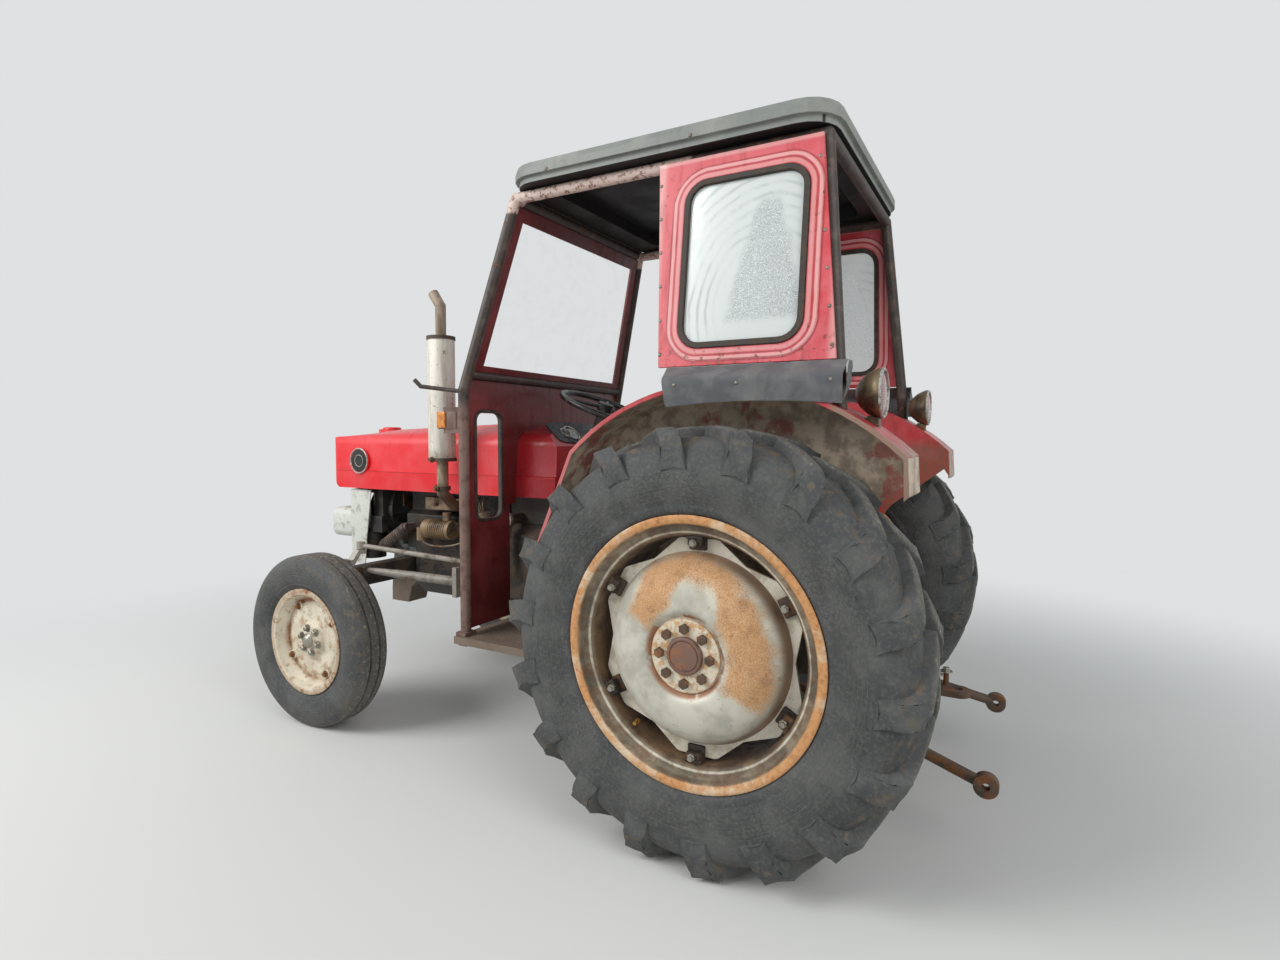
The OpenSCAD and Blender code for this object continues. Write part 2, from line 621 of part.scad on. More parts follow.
module front_tyre(side) color("#2b2b2d") seated() on_side(side)
    wheel_turn(wheelbase, front_track / 2, front_tyre_r) difference() {
        half = casing_half(front_tyre_r, front_tyre_w, front_rim_r, front_rim_w);
        rotate_extrude($fn = 96) polygon(concat(half, mirrored(half)));
        for (y = [-22, 22]) rotate_extrude($fn = 96) translate([front_tyre_r - 10, y - 4]) square([20, 8]);
    }

// Rim outline: flange, bead seat and drop centre, as a pressed ring whose well lies d deep
function rim_half(r, w, seat, d) = [[r, w / 2], [r, w / 2 - 8], [r - 22, w / 2 - 17], [r - 26, w / 2 - seat],
    [r - 26 - d, w / 2 - seat - d * 0.55]];
function rim_back(r, w, seat, d) = [[r - 33 - d, w / 2 - seat - d * 0.55 - 4], [r - 33, w / 2 - seat - 2],
    [r - 28, w / 2]];
module rim_ring(r, w, seat, d) {
    half = rim_half(r, w, seat, d);
    back = rim_back(r, w, seat, d);
    rotate_extrude($fn = 96) polygon(concat(half, mirrored(half),
        [for (i = [2 : -1 : 0]) [back[i][0], -back[i][1]]], back));
}

module front_rim(side) color("#d8d0bb") seated() on_side(side)
wheel_turn(wheelbase, front_track / 2, front_tyre_r) {
    r = front_rim_r;
    well = 16.5;
    rim_ring(r, front_rim_w, 30, well);
    foot = r - 33 - well;
    rotate_extrude($fn = 72) polygon([[19 + run_gap, -30], [52, -30], [60, 8], [foot - 34, 12], [foot - 14, 2],
        [foot + 1, 2], [foot + 1, 10], [foot - 13, 11], [foot - 30, 21], [74, 20], [66, 32], [36, 36],
        [34, 44], [19 + run_gap, 44]]);
    for (i = [0 : 5]) rotate([0, 0, i * 60 + 14]) translate([52, 0, 20]) cylinder(h = 20, r = 9);
}

// Lug outline on the tread: ahead round the rim, and out across it
lug_end = rear_tyre_w / 2;
lug_shape = [[98, -6], [160, -6], [92, 72], [22, lug_end - 18], [15, lug_end + 18], [-62, lug_end + 18],
    [-36, lug_end - 18]];
module rear_tyre(side) color("#2e2f31") seated() on_side(side) wheel_turn(0, rear_track / 2, rear_tyre_r) {
    r = rear_tyre_r;
    base_r = r - lug_h;
    e = lug_end;
    union() {
        half = casing_half(base_r, rear_tyre_w, rear_rim_r, rear_rim_w);
        rotate_extrude($fn = 96) polygon(concat(half, mirrored(half)));
        intersection() {
            rotate_extrude($fn = 96) polygon([[base_r - 8, 0], [base_r - 8, 58 - e], [base_r - 60, 18 - e],
                [r - 126, 8 - e], [r - 126, -e - 2], [r - 71, -e - 4], [r - 27, 2 - e], [r - 8, 14 - e],
                [r, 48 - e], [r, e - 48], [r - 8, e - 14], [r - 27, e - 2], [r - 71, e + 4], [r - 126, e + 2],
                [r - 126, e - 8], [base_r - 60, e - 18], [base_r - 8, e - 58]]);
            for (half = [0, 1], i = [0 : lug_count - 1])
                rotate([0, 0, (i + half / 2) * 360 / lug_count]) mirror([0, 0, half])
                    rotate([90, 0, 90]) translate([0, 0, r - 141]) linear_extrude(160) polygon(lug_shape);
        }
    }
}

// Dished disc of the rear wheel: hub face, dome, six-lobed plate and the rim's lugs
module rear_rim(side) color("#c9c4b4") seated() on_side(side) wheel_turn(0, rear_track / 2, rear_tyre_r) {
    r = rear_rim_r;
    d = dome_r;
    z = hub_out;
    well = 30;
    well_r = r - 33 - well;
    rim_ring(r, rear_rim_w, 26, well);
    plate_z = z - 97;
    difference() {
        translate([0, 0, plate_z]) linear_extrude(10) polygon([for (i = [0 : 5], k = [-1, 1, 3])
            let (a = i * 60 + 30 + (k == 3 ? 30 : 11 * k)) (k == 3 ? d + 5 : well_r - 5) * [cos(a), sin(a)]]);
        translate([0, 0, plate_z - 1]) cylinder(h = 12, r = d - 30);
    }
    for (i = [0 : 5]) rotate([0, 0, i * 60 + 30]) {
        translate([d + 4, -24, plate_z - 1]) cube([well_r + 2 - d - 4, 48, 12]);
        translate([well_r - 29, -16, plate_z + 9]) cube([31, 32, 34]);
        translate([well_r - 19, 0, plate_z - 12]) cylinder(h = 66, r = 10);
    }
    rotate_extrude($fn = 96) polygon([[0, z], [104, z], [112, z + 5], [126, z + 11], [146, z + 13],
        [d - 106, z + 11], [d - 81, z + 4], [d - 58, z - 8], [d - 38, z - 25], [d - 22, z - 45],
        [d - 10, z - 65], [d - 4, z - 79], [d, z - 92], [d - 11, z - 92], [d - 14, z - 81], [d - 26, z - 57], [d - 42, z - 37],
        [d - 62, z - 20], [d - 84, z - 8], [d - 108, z - 1], [146, z + 1], [128, z - 1], [114, z - 7],
        [0, z - 12]]);
    translate([0, 0, z - 10]) cylinder(h = 18, r = 52);
    for (i = [0 : 7]) rotate([0, 0, i * 45]) translate([76, 0, z - 6]) cylinder(h = 22, r = 13);
    hub = rear_track / 2 - rear_hub_y + 10 - run_gap;
    translate([0, 0, -hub]) cylinder(h = hub + z - 4, r = 62);
}

// Shell fender: upright wall and a strip bent over the tyre
fender_a0 = 46;
fender_a1 = 134;
front_foot = [690, 176];
function fender_path(r) = concat([front_foot + (r - fender_r) * [0.9, 0.43]],
    arc([0, 0], r, fender_a0, fender_a1, 22), [[-(r - 226), r - 318]]);
module fenders() color("#c8202c") seated() both_sides() translate([0, 0, rear_tyre_r]) {
    outer = fender_path(fender_r);
    inner = fender_path(fender_r - sheet);
    lip = fender_path(fender_r - 14);
    side_plate(fender_wall_y, fender_edge_y - fender_wall_y)
        polygon(concat(outer, [for (i = [len(inner) - 1 : -1 : 0]) inner[i]]));
    side_plate(fender_edge_y - 8, 8)
        polygon(concat(outer, [for (i = [len(lip) - 1 : -1 : 0]) lip[i]]));
    side_plate(fender_wall_y, sheet)
        polygon(concat(outer, [[-515, 476], [-320, 324], [-150, 98], [150, 98], [300, 150]]));
}

// The posts stand in two planes that lean in towards the roof
waist_low = waist_z - 60;
front_waist = [front_post_x, waist_half_w, waist_low];
front_head = [front_head_x, head_half_w, head_z];
rear_head = [-rear_head_x, head_half_w, head_z];
rear_waist = [-rear_waist_x, waist_half_w, waist_low];
side_lean = atan2(waist_half_w - head_half_w, head_z - waist_low);
screen_lean = atan2(front_post_x - front_head_x, head_z - waist_low);
screen_l = norm([front_post_x - front_head_x, head_z - waist_low]);
function on_front(z) = between(front_waist, front_head, (z - waist_low) / (head_z - waist_low));
foot_top = 464;

// Welded tube frame of the cab with the mirror stay and the reflector's plate
module cab_frame() color("#3a302c") seated() {
    both_sides() {
        difference() {
            bent_bar([[front_post_x, waist_half_w, foot_top + 10], front_waist, front_head, rear_head,
                rear_waist, [-rear_waist_x - 6, waist_half_w + 4, waist_low - 112]], post_r);
            cross_pin([0, 0, rear_tyre_r], fender_r + run_gap, 1400);
        }
        translate([front_post_x - 24, waist_half_w - 30, foot_top + run_gap]) cube([48, 60, 14]);
    }
    bar(front_head, [front_head[0], -front_head[1], front_head[2]], post_r);
    bar(rear_head, [rear_head[0], -rear_head[1], rear_head[2]], post_r);
    beam = on_front(waist_z);
    bar(beam, [beam[0], -beam[1], beam[2]], 15);
    bent_bar([[front_post_x, waist_half_w, waist_z - 65], [front_post_x + 150, waist_half_w + 70, waist_z - 45],
        [front_post_x + 170, waist_half_w + 82, waist_z - 20]], 8);
    translate([front_post_x + 15, waist_half_w - 6, waist_low - 162]) cube([90, 5, 100]);
}

// Pressed roof with a recessed gutter under its rim and a shallow hollow below
roof_x0 = -rear_head_x - 40;
roof_l = front_head_x + 4 - roof_x0;
roof_z = head_z + post_r * bend_swell + run_gap;
module roof_layer(z, in, h = 1) translate([roof_x0 + roof_l / 2, 0, z])
    linear_extrude(h) polygon(round_rect(roof_l - 2 * in, 2 * (roof_half_w - in), 120 - min(in, 60)));
module cab_roof() color("#9aa09c") seated() difference() {
    union() {
        hull() {
            roof_layer(roof_z + 22, 0);
            roof_layer(roof_z + roof_rim - 30, 0);
            roof_layer(roof_z + roof_rim - 10, 8);
            roof_layer(roof_z + roof_rim, 34);
            roof_layer(roof_z + roof_rim + 22, 210);
        }
        roof_layer(roof_z, 14, 24);
    }
    translate([0, 0, -1]) roof_layer(roof_z, 128, 54);
}

// Side panel plane: its foot lies outside the posts, and it leans with them
panel_foot_z = waist_z - 16;
panel_foot_y = waist_half_w - (panel_foot_z - waist_low) * tan(side_lean)
    + (post_r + run_gap + panel_t) / cos(side_lean);
panel_h = (head_z - 4 - panel_foot_z) / cos(side_lean);
module in_panel(t, depth = 0) translate([-20, panel_foot_y, panel_foot_z]) rotate([90 + side_lean, 0, 0])
    translate([0, 0, depth]) linear_extrude(t) children();
// Frame of sheet below and above the side window
window_foot = 68;
window_head = 93.3;
window_w = panel_l - 163;
window_h = panel_h - window_foot - window_head;
window_c = [panel_l / 2 - 13.5 - rear_head_x, window_foot + window_h / 2];
seal_w = 16;
function panel_window(grow) = round_rect(window_w + 2 * grow, window_h + 2 * grow, 58 + grow, 6);
module side_panels() color("#cf3a42") seated() both_sides() {
    difference() {
        union() {
            in_panel(panel_t) polygon([[23 - rear_waist_x, 0], [49 - rear_waist_x + panel_l, 0],
                [23 - rear_head_x + panel_l, panel_h], [23 - rear_head_x, panel_h]]);
            in_panel(5, -4) translate(window_c) polygon(panel_window(52));
        }
        in_panel(panel_t + 20, -10) translate(window_c) polygon(panel_window(seal_w));
    }
}

// Front wall: two lower panels with windows, the part over the cowl, and the screen's surround
front_window = [waist_half_w - bonnet_half_w - 128, 440];
front_window_c = [(waist_half_w + bonnet_half_w + 28) / 2, 1113];
front_window_r = min(46, front_window[0] / 2 - 16);
module in_screen(t) translate([front_post_x, 0, waist_low]) rotate([0, -screen_lean, 0])
    translate([-t / 2, 0, 0]) long_section(0, t) children();
function screen_y(s, in) = between(waist_half_w, head_half_w, s / screen_l) - post_r - in;
screen_s0 = (waist_z - waist_low) / cos(screen_lean) + 15 + run_gap;
screen_s1 = screen_l - post_r - run_gap;
function screen_outline(in, low, high) = [[-screen_y(screen_s0 + low, in), screen_s0 + low],
    [screen_y(screen_s0 + low, in), screen_s0 + low], [screen_y(screen_s1 - high, in), screen_s1 - high],
    [-screen_y(screen_s1 - high, in), screen_s1 - high]];
module front_panels() color("#5e1519") seated() {
    wall_y = waist_half_w - post_r * bend_swell - run_gap;
    gap_y = bonnet_half_w + 38;
    difference() {
        long_section(front_post_x - panel_t / 2, panel_t)
            polygon([[-wall_y, 486], [-gap_y, 486], [-gap_y, 950], [gap_y, 950], [gap_y, 486], [wall_y, 486],
                [wall_y, waist_low], [wall_y - 6, waist_z - 16], [-wall_y + 6, waist_z - 16],
                [-wall_y, waist_low]]);
        both_sides() translate([0, front_window_c[0], front_window_c[1]])
            long_section(front_post_x - panel_t, 2 * panel_t) 
                    polygon(round_rect(front_window[0], front_window[1], front_window_r));
        long_section(front_post_x - panel_t, 2 * panel_t) polygon(bonnet_section(2 - 2 * run_gap, 900));
    }
    difference() {
        in_screen(panel_t) polygon(screen_outline(0.4, 0, 0));
        in_screen(2 * panel_t) polygon(screen_outline(46, 24, 50));
    }
}

// Rubber seals round the side windows and the front ones
module window_seals() color("#3b322a") seated() {
    both_sides() difference() {
        union() {
            in_panel(panel_t + 8, -9) translate(window_c) polygon(panel_window(seal_w - run_gap));
        }
        in_panel(panel_t + 20, -11) translate(window_c) polygon(panel_window(-3));
    }
    both_sides() translate([0, front_window_c[0], front_window_c[1]]) difference() {
        long_section(front_post_x - 10, 20) 
            polygon(round_rect(front_window[0] - 0.6, front_window[1] - 0.6, front_window_r - 0.3));
        long_section(front_post_x - 11, 22) 
            polygon(round_rect(front_window[0] - 26, front_window[1] - 26, front_window_r - 13));
    }
}

module cab_glass() color("#c4d0cf", 0.5) seated() {
    both_sides() in_panel(glass_t, panel_t / 2 - glass_t / 2) translate(window_c)
        polygon(panel_window(-3 - run_gap));
    both_sides() translate([0, front_window_c[0], front_window_c[1]])
        long_section(front_post_x - glass_t / 2, glass_t)
        polygon(round_rect(front_window[0] - 26.6, front_window[1] - 26.6, front_window_r - 13.3));
    in_screen(glass_t) polygon(screen_outline(46.4, 24.3, 50.3));
}

// Canvas aprons from the side panels down over the fenders' edges, closed at the back
apron_x0 = -rear_waist_x - post_r - 12;
module aprons() color("#44484b") seated() both_sides() {
    top = panel_foot_z - panel_t * sin(side_lean) - run_gap;
    out = fender_edge_y + run_gap;
    crest = fender_crest;
    long_section(apron_x0, 225 - apron_x0) polygon([[panel_foot_y - panel_t + 2, top], [panel_foot_y, top],
        [out + 5, crest + 8], [out + 5, crest - 70], [out, crest - 70], [out, crest + 4]]);
    difference() {
        long_section(apron_x0 - 4, 5) polygon([[panel_foot_y - 40, top], [panel_foot_y, top],
            [out + 5, crest + 8], [out + 5, crest - 88], [panel_foot_y - 40, crest - 88]]);
        cross_pin([0, 0, rear_tyre_r], fender_r + run_gap, 2 * fender_edge_y);
    }
}

module footplates() color("#4a423c") seated() {
    rear = 680;
    l = front_post_x + 25 - rear;
    out = waist_half_w + 30;
    both_sides() {
        translate([rear, 192, foot_top - 8]) cube([l, waist_half_w + 40 - 192, 8]);
        translate([rear, waist_half_w, foot_top - 28]) cube([l, 40, 21]);
    }
    for (x = [rear + 20, front_post_x - 30]) {
        translate([x, -out, gearbox_bottom - run_gap - 26]) cube([40, 2 * out, 26]);
        for (y = [-out, out - 200]) translate([x, y, gearbox_bottom - 10]) cube([40, 200, 12]);
    }
}

module seat_base() color("#2b2b2b") seated() {
    translate([160, -60, gearbox_top + run_gap]) cube([200, 120, 12]);
    for (y = [-40, 40]) {
        bar([190, y, 850], [340, y, 950], 11);
        bar([340, y, 850], [190, y, 950], 11);
    }
    translate([105, -190, 946]) cube([340, 380, 14]);
    translate([105, -190, 946]) cube([12, 380, 300]);
}

module seat_cushion() color("#1c1f26") seated() {
    translate([128, -195, 960 + run_gap]) cube([320, 390, 74]);
    translate([117 + run_gap, -200, 1045]) cube([58, 400, 215]);
}

// Bullet-shaped rear lamps on short brackets over the fenders
lamp_back = 410;
lamp_seat = rear_tyre_r + sqrt(fender_r * fender_r - lamp_back * lamp_back);
lamp = [-lamp_back, fender_wall_y + 75, lamp_seat + 78.7];
module rear_lamps() color("#7a6a52") seated() both_sides() {
    translate(lamp - [32, 0, 0]) rotate([0, 90, 0]) rotate_extrude()
        polygon([[0, 0], [68, 0], [72, 4], [70, 14], [58, 40], [40, 60], [20, 72], [0, 76]]);
    difference() {
        union() {
            translate(lamp - [8, 10, 112]) cube([16, 20, 50]);
            translate(lamp - [24, 20, 112]) cube([40, 40, 44]);
        }
        cross_pin([0, 0, rear_tyre_r], fender_r + run_gap, 2 * fender_edge_y);
    }
}

// Ball on a lever's end, laid so that the lever doesn't enter it at a pole
module knob(c, r) translate(c) rotate([90, 0, 0]) sphere(r = r);
// Pedals and levers on and beside the gearbox
module controls() color("#2f2b29") seated() {
    side = gearbox_half_w - 10 + run_gap;
    pedal_x = engine_rear - 304;
    both_sides() {
        bar([pedal_x, side + 26, 640], [pedal_x - 55, side + 82, 560], 9);
        translate([pedal_x - 90, side + 48, 545]) rotate([0, -25, 0]) cube([70, 60, 10]);
        translate([pedal_x, side + 38, 640]) rotate([90, 0, 0]) cylinder(h = 38, r = 16);
    }
    for (v = [[560, 20, 606, 20, 1090], [480, -40, 520, -110, 1030]]) {
        translate([v[0], v[1], gearbox_top + run_gap]) cylinder(h = 22, r1 = 26, r2 = 16);
        bar([v[0], v[1], gearbox_top + 12], [v[2], v[3], v[4]], 8);
        knob([v[2], v[3], v[4] + 8], 19);
    }
    translate([126, -casing_half_w - run_gap, 752]) rotate([90, 0, 0]) cylinder(h = 42, r = 18);
    for (v = [[180, 12], [225, 30]]) {
        bar([126, -casing_half_w - v[1], 752], [v[0], -casing_half_w - v[1] - 8, 1060], 6);
        knob([v[0], -casing_half_w - v[1] - 8, 1062], 13);
    }
}

// Top link bracket, drawbar with its coupling pin, and the lower link stubs
top_link = [-262, 760];
module hitch() color("#6a5d50") seated() {
    both_sides() {
        difference() {
            side_plate(26, 12) polygon([[casing_rear - run_gap, 690], [casing_rear - run_gap, 820], [-240, 810],
                [-290, 785], [-290, 735], [-240, 710]]);
            cross_pin([top_link[0], 32, top_link[1]], top_bore_r, 60);
        }
        translate([link_pivot[0], casing_foot_w + run_gap, link_pivot[2]]) rotate([-90, 0, 0])
            cylinder(h = link_pivot[1] + 32 - casing_foot_w, r = 14);
    }
    difference() {
        union() {
            translate([-620, -38, 360]) cube([720, 76, 22]);
            translate([-620, 0, 360]) cylinder(h = 22, r = 38);
            translate([-180, -60, 381]) cube([250, 120, casing_bottom - run_gap - 381]);
        }
        translate([-622, 0, 355]) cylinder(h = 40, r = drawbar_bore_r);
    }
    for (v = [[-556, 24], [-580, -24]]) translate([v[0], v[1], 381]) cylinder(h = 46, r = 9);
}

module pto_shaft() color("#9c9488") seated() {
    bar([casing_rear + 30, 0, pto_z], [casing_rear - 20, 0, pto_z], pto_r + 3);
    bar([casing_rear - 20, 0, pto_z], [casing_rear - 100, 0, pto_z], pto_r);
}

// Cross shaft with the two arms that pull up the lift rods
module lift_arms() color("#4d443c") seated() {
    cross_pin([lift_shaft[0], 0, lift_shaft[1]], 22, 2 * lift_arm_y + lift_arm_t);
    both_sides() {
        hull() {
            cross_pin([lift_shaft[0], lift_arm_y, lift_shaft[1]], 38, lift_arm_t, $fn = 28);
            cross_pin([lift_arm_end[0], lift_arm_y, lift_arm_end[1]], 22, lift_arm_t, $fn = 28);
        }
    }
}

// Links seen from above: pivot ball, bar and end ball
link_mid = between(link_pivot, link_end, link_clevis_t);
link_boss = 26;
module lift_rods() color("#5d5349") seated() both_sides() {
    eye = 30;
    low = link_mid + [0, link_boss + run_gap + eye / 2, 0];
    high = [lift_arm_end[0], lift_arm_y + lift_arm_t / 2 + 2 * run_gap + lift_eye_t / 2, lift_arm_end[1]];
    difference() {
        union() {
            bar(low, high, 12);
            cross_pin(low, 22, eye);
            cross_pin(high, 20, lift_eye_t);
            bar(between(low, high, 0.3), between(low, high, 0.62), 19);
        }
        cross_pin(low, 9 + run_gap, 60);
        translate(high - [0, lift_eye_t / 2 + 30, 0]) cross_pin([0, 0, 0], 42, 60);
    }
}

module lower_links() color("#6a5d50") seated() both_sides() difference() {
    union() {
    bar(link_pivot + 20 * (link_end - link_pivot) / norm(link_end - link_pivot), link_end, 17);
        cross_pin(link_pivot, 30, 30);
        cross_pin(link_end, 34, 34);
        translate(link_mid) rotate([-90, 0, 0]) cylinder(h = link_boss + 34, r = 9);
        translate(link_mid) rotate([-90, 0, 0]) cylinder(h = link_boss, r = 14);
    }
    cross_pin(link_pivot, 14 + run_gap, 80);
    cross_pin(link_end, link_bore_r, 80);
}

module knuckle_left() knuckle(1);
module knuckle_right() knuckle(-1);
module drag_link_left() drag_link(1);
module drag_link_right() drag_link(-1);
module drop_arm_left() drop_arm(1);
module drop_arm_right() drop_arm(-1);
module front_rim_left() front_rim(1);
module front_rim_right() front_rim(-1);
module front_tyre_left() front_tyre(1);
module front_tyre_right() front_tyre(-1);
module rear_rim_left() rear_rim(1);
module rear_rim_right() rear_rim(-1);
module rear_tyre_left() rear_tyre(1);
module rear_tyre_right() rear_tyre(-1);

engine_block();
front_support();
radiator();
fan();
grille();
headlamps();
engine_units();
hoses();
exhaust();
bonnet();
dash_cowl();
steering_column();
steering_wheel();
transmission();
rear_axle();
front_axle();
radius_rods();
knuckle_left();
knuckle_right();
drag_link_left();
drag_link_right();
drop_arm_left();
drop_arm_right();
front_rim_left();
front_rim_right();
front_tyre_left();
front_tyre_right();
rear_rim_left();
rear_rim_right();
rear_tyre_left();
rear_tyre_right();
fenders();
cab_frame();
cab_roof();
side_panels();
front_panels();
window_seals();
cab_glass();
aprons();
footplates();
seat_base();
seat_cushion();
rear_lamps();
controls();
hitch();
pto_shaft();
lift_arms();
lift_rods();
lower_links();
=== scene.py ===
import json
import math

import bmesh
import bpy
from mathutils import Matrix, Vector

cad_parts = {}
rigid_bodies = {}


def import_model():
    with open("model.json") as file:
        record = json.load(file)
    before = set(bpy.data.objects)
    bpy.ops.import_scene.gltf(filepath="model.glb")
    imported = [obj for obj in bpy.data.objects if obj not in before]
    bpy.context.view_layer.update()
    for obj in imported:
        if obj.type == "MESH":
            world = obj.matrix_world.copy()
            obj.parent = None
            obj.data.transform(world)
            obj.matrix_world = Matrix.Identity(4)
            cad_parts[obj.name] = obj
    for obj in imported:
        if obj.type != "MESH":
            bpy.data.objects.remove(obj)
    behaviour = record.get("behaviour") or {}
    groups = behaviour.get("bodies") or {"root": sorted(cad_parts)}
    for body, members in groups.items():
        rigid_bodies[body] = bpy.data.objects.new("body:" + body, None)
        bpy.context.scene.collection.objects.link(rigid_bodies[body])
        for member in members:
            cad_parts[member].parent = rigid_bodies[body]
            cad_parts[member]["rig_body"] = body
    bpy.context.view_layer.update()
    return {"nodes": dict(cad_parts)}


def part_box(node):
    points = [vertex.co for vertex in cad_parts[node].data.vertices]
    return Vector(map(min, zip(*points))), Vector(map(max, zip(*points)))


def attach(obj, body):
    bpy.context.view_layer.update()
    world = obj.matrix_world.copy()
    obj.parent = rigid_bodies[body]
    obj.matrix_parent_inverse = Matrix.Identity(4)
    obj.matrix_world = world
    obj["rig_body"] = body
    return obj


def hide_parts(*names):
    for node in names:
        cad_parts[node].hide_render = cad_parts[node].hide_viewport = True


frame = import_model()
scene = bpy.context.scene

# The camera stands at eye height behind the left rear wheel, with a wide lens
# that looks slightly down and forward along the tractor's side.
eye = Vector((-1.5504, 2.5302, 1.2231))
yaw, pitch, roll = math.radians(-60.839), math.radians(-3.439), math.radians(0.229)
ahead = Vector((math.cos(yaw) * math.cos(pitch), math.sin(yaw) * math.cos(pitch), math.sin(pitch)))
level = ahead.cross(Vector((0, 0, 1))).normalized()
upward = level.cross(ahead)
right = math.cos(roll) * level + math.sin(roll) * upward
above = math.cos(roll) * upward - math.sin(roll) * level
sensor_mm, picture_px, focal_px = 36, 1280, 691.49
lens = bpy.data.cameras.new("camera")
lens.sensor_width = sensor_mm
lens.lens = sensor_mm * focal_px / picture_px
lens.clip_start, lens.clip_end = 0.05, 300
camera = bpy.data.objects.new("camera", lens)
camera.matrix_world = Matrix.Translation(eye) @ Matrix((right, above, -ahead)).transposed().to_4x4()
scene.collection.objects.link(camera)
scene.camera = camera


# The studio is a wide pale floor under one large soft lamp at the front left, a
# weaker one behind, and an even grey-white room that fills the shadows.
def tint(code):
    """Colour from its six-digit screen code, as a shader takes it."""
    parts = [int(code[i:i + 2], 16) / 255 for i in (0, 2, 4)]
    return tuple(c / 12.92 if c <= 0.04045 else ((c + 0.055) / 1.055) ** 2.4 for c in parts) + (1.0,)


class Reading:
    """A value read over a surface, on which Python's own signs work."""

    def __init__(self, finish, socket):
        self.finish = finish
        self.socket = socket

    def maths(self, operation, *values):
        return self.finish.node("ShaderNodeMath", {"operation": operation}, dict(enumerate(values)))

    def __add__(self, other):
        return self.maths("ADD", self, other)

    def __sub__(self, other):
        return self.maths("SUBTRACT", self, other)

    def __rsub__(self, other):
        return self.maths("SUBTRACT", other, self)

    def __mul__(self, other):
        return self.maths("MULTIPLY", self, other)

    def __truediv__(self, other):
        return self.maths("DIVIDE", self, other)

    def __pow__(self, other):
        return self.maths("POWER", self, other)

    def __abs__(self):
        return self.maths("ABSOLUTE", self)

    __radd__, __rmul__ = __add__, __mul__

    def wave(self):
        return self.maths("SINE", self)

    def least(self, other):
        return self.maths("MINIMUM", self, other)

    def most(self, other):
        return self.maths("MAXIMUM", self, other)


class Finish:
    """One of the tractor's finishes: a principled shader and the nodes that vary it."""

    def __init__(self, name, **fixed):
        self.material = bpy.data.materials.new(name)
        self.material.use_nodes = True
        self.nodes = self.material.node_tree.nodes
        self.links = self.material.node_tree.links
        self.shader = self.nodes["Principled BSDF"]
        for socket, value in fixed.items():
            self.shader.inputs[socket.replace("_", " ")].default_value = value

    def node(self, kind, settings=None, sockets=None, out=0):
        """A new node's output, from its settings and from readings, numbers and colour codes."""
        made = self.nodes.new(kind)
        for name, value in (settings or {}).items():
            setattr(made, name, value)
        for name, value in (sockets or {}).items():
            if isinstance(value, Reading):
                self.links.new(value.socket, made.inputs[name])
            else:
                made.inputs[name].default_value = tint(value) if isinstance(value, str) else value
        return Reading(self, made.outputs[out])

    def place(self):
        return self.node("ShaderNodeTexCoord", out="Object")

    def axes(self):
        first = self.node("ShaderNodeSeparateXYZ", None, {0: self.place()})
        return [Reading(self, socket) for socket in first.socket.node.outputs]

    def step(self, value, low, high):
        """0 below low, 1 above high, and a soft edge between them."""
        return self.node("ShaderNodeMapRange", {"interpolation_type": "SMOOTHSTEP"},
                         {0: value, 1: low, 2: high})

    def band(self, value, low, full, fall, high):
        """1 from full to fall, 0 outside low and high, and soft edges between them."""
        return self.step(value, low, full) * (1 - self.step(value, fall, high))

    def grain(self, size, detail=5.0, rough=0.6, stretch=(1, 1, 1), seed=0.0, bend=0.0):
        """Cloudy pattern whose lumps are about that many metres across."""
        where = self.node("ShaderNodeMapping", None, {"Vector": self.place(), "Scale": stretch,
                                                      "Location": (seed, seed * 0.7, seed * 0.3)})
        return self.node("ShaderNodeTexNoise", None, {"Vector": where, "Scale": 1 / size, "Detail": detail,
                                                      "Roughness": rough, "Distortion": bend})

    def patches(self, size, low, high, **kind):
        return self.step(self.grain(size, **kind), low, high)

    def layer(self, colour, *coats):
        """A colour under coats that are laid on one by one, each a colour and where it lies."""
        for over, mask in coats:
            colour = self.node("ShaderNodeMix", {"data_type": "RGBA"}, {0: mask, 6: colour, 7: over}, out=2)
        return colour

    def relief(self, height, distance, **onto):
        return self.node("ShaderNodeBump", None,
                         {"Height": height, "Distance": distance, "Strength": 1.0, **onto})

    def surface(self, **channels):
        for socket, value in channels.items():
            self.links.new(value.socket, self.shader.inputs[socket.replace("_", " ")])

    def dusted(self, clean, dirt, dust, share, rough, rougher, **channels):
        """A colour with a share of dirt over it where the dust lies, and rougher there."""
        self.surface(Base_Color=self.layer(clean, (dirt, dust * share)), Roughness=rough + rougher * dust,
                     **channels)


bm = bmesh.new()
bmesh.ops.create_circle(bm, cap_ends=True, segments=96, radius=60)
mesh = bpy.data.meshes.new("studio_floor")
bm.to_mesh(mesh)
bm.free()
floor = bpy.data.objects.new("studio_floor", mesh)
scene.collection.objects.link(floor)
floor_finish = Finish("studio_floor", Roughness=0.95, Specular_IOR_Level=0.1)
floor_finish.shader.inputs["Base Color"].default_value = tint("dcdcd9")
x, y, z = floor_finish.axes()
seen_straight = floor_finish.node("ShaderNodeLightPath")
distant = floor_finish.step((x * x + y * y) ** 0.5, 1.8, 4.8) * seen_straight
haze = floor_finish.node("ShaderNodeEmission", None, {"Color": "dfe1e2", "Strength": 1.0})
blended = floor_finish.node("ShaderNodeMixShader", None, {0: distant})
floor_finish.links.new(floor_finish.shader.outputs[0], blended.socket.node.inputs[1])
floor_finish.links.new(haze.socket, blended.socket.node.inputs[2])
floor_finish.links.new(blended.socket, floor_finish.nodes["Material Output"].inputs["Surface"])
mesh.materials.append(floor_finish.material)

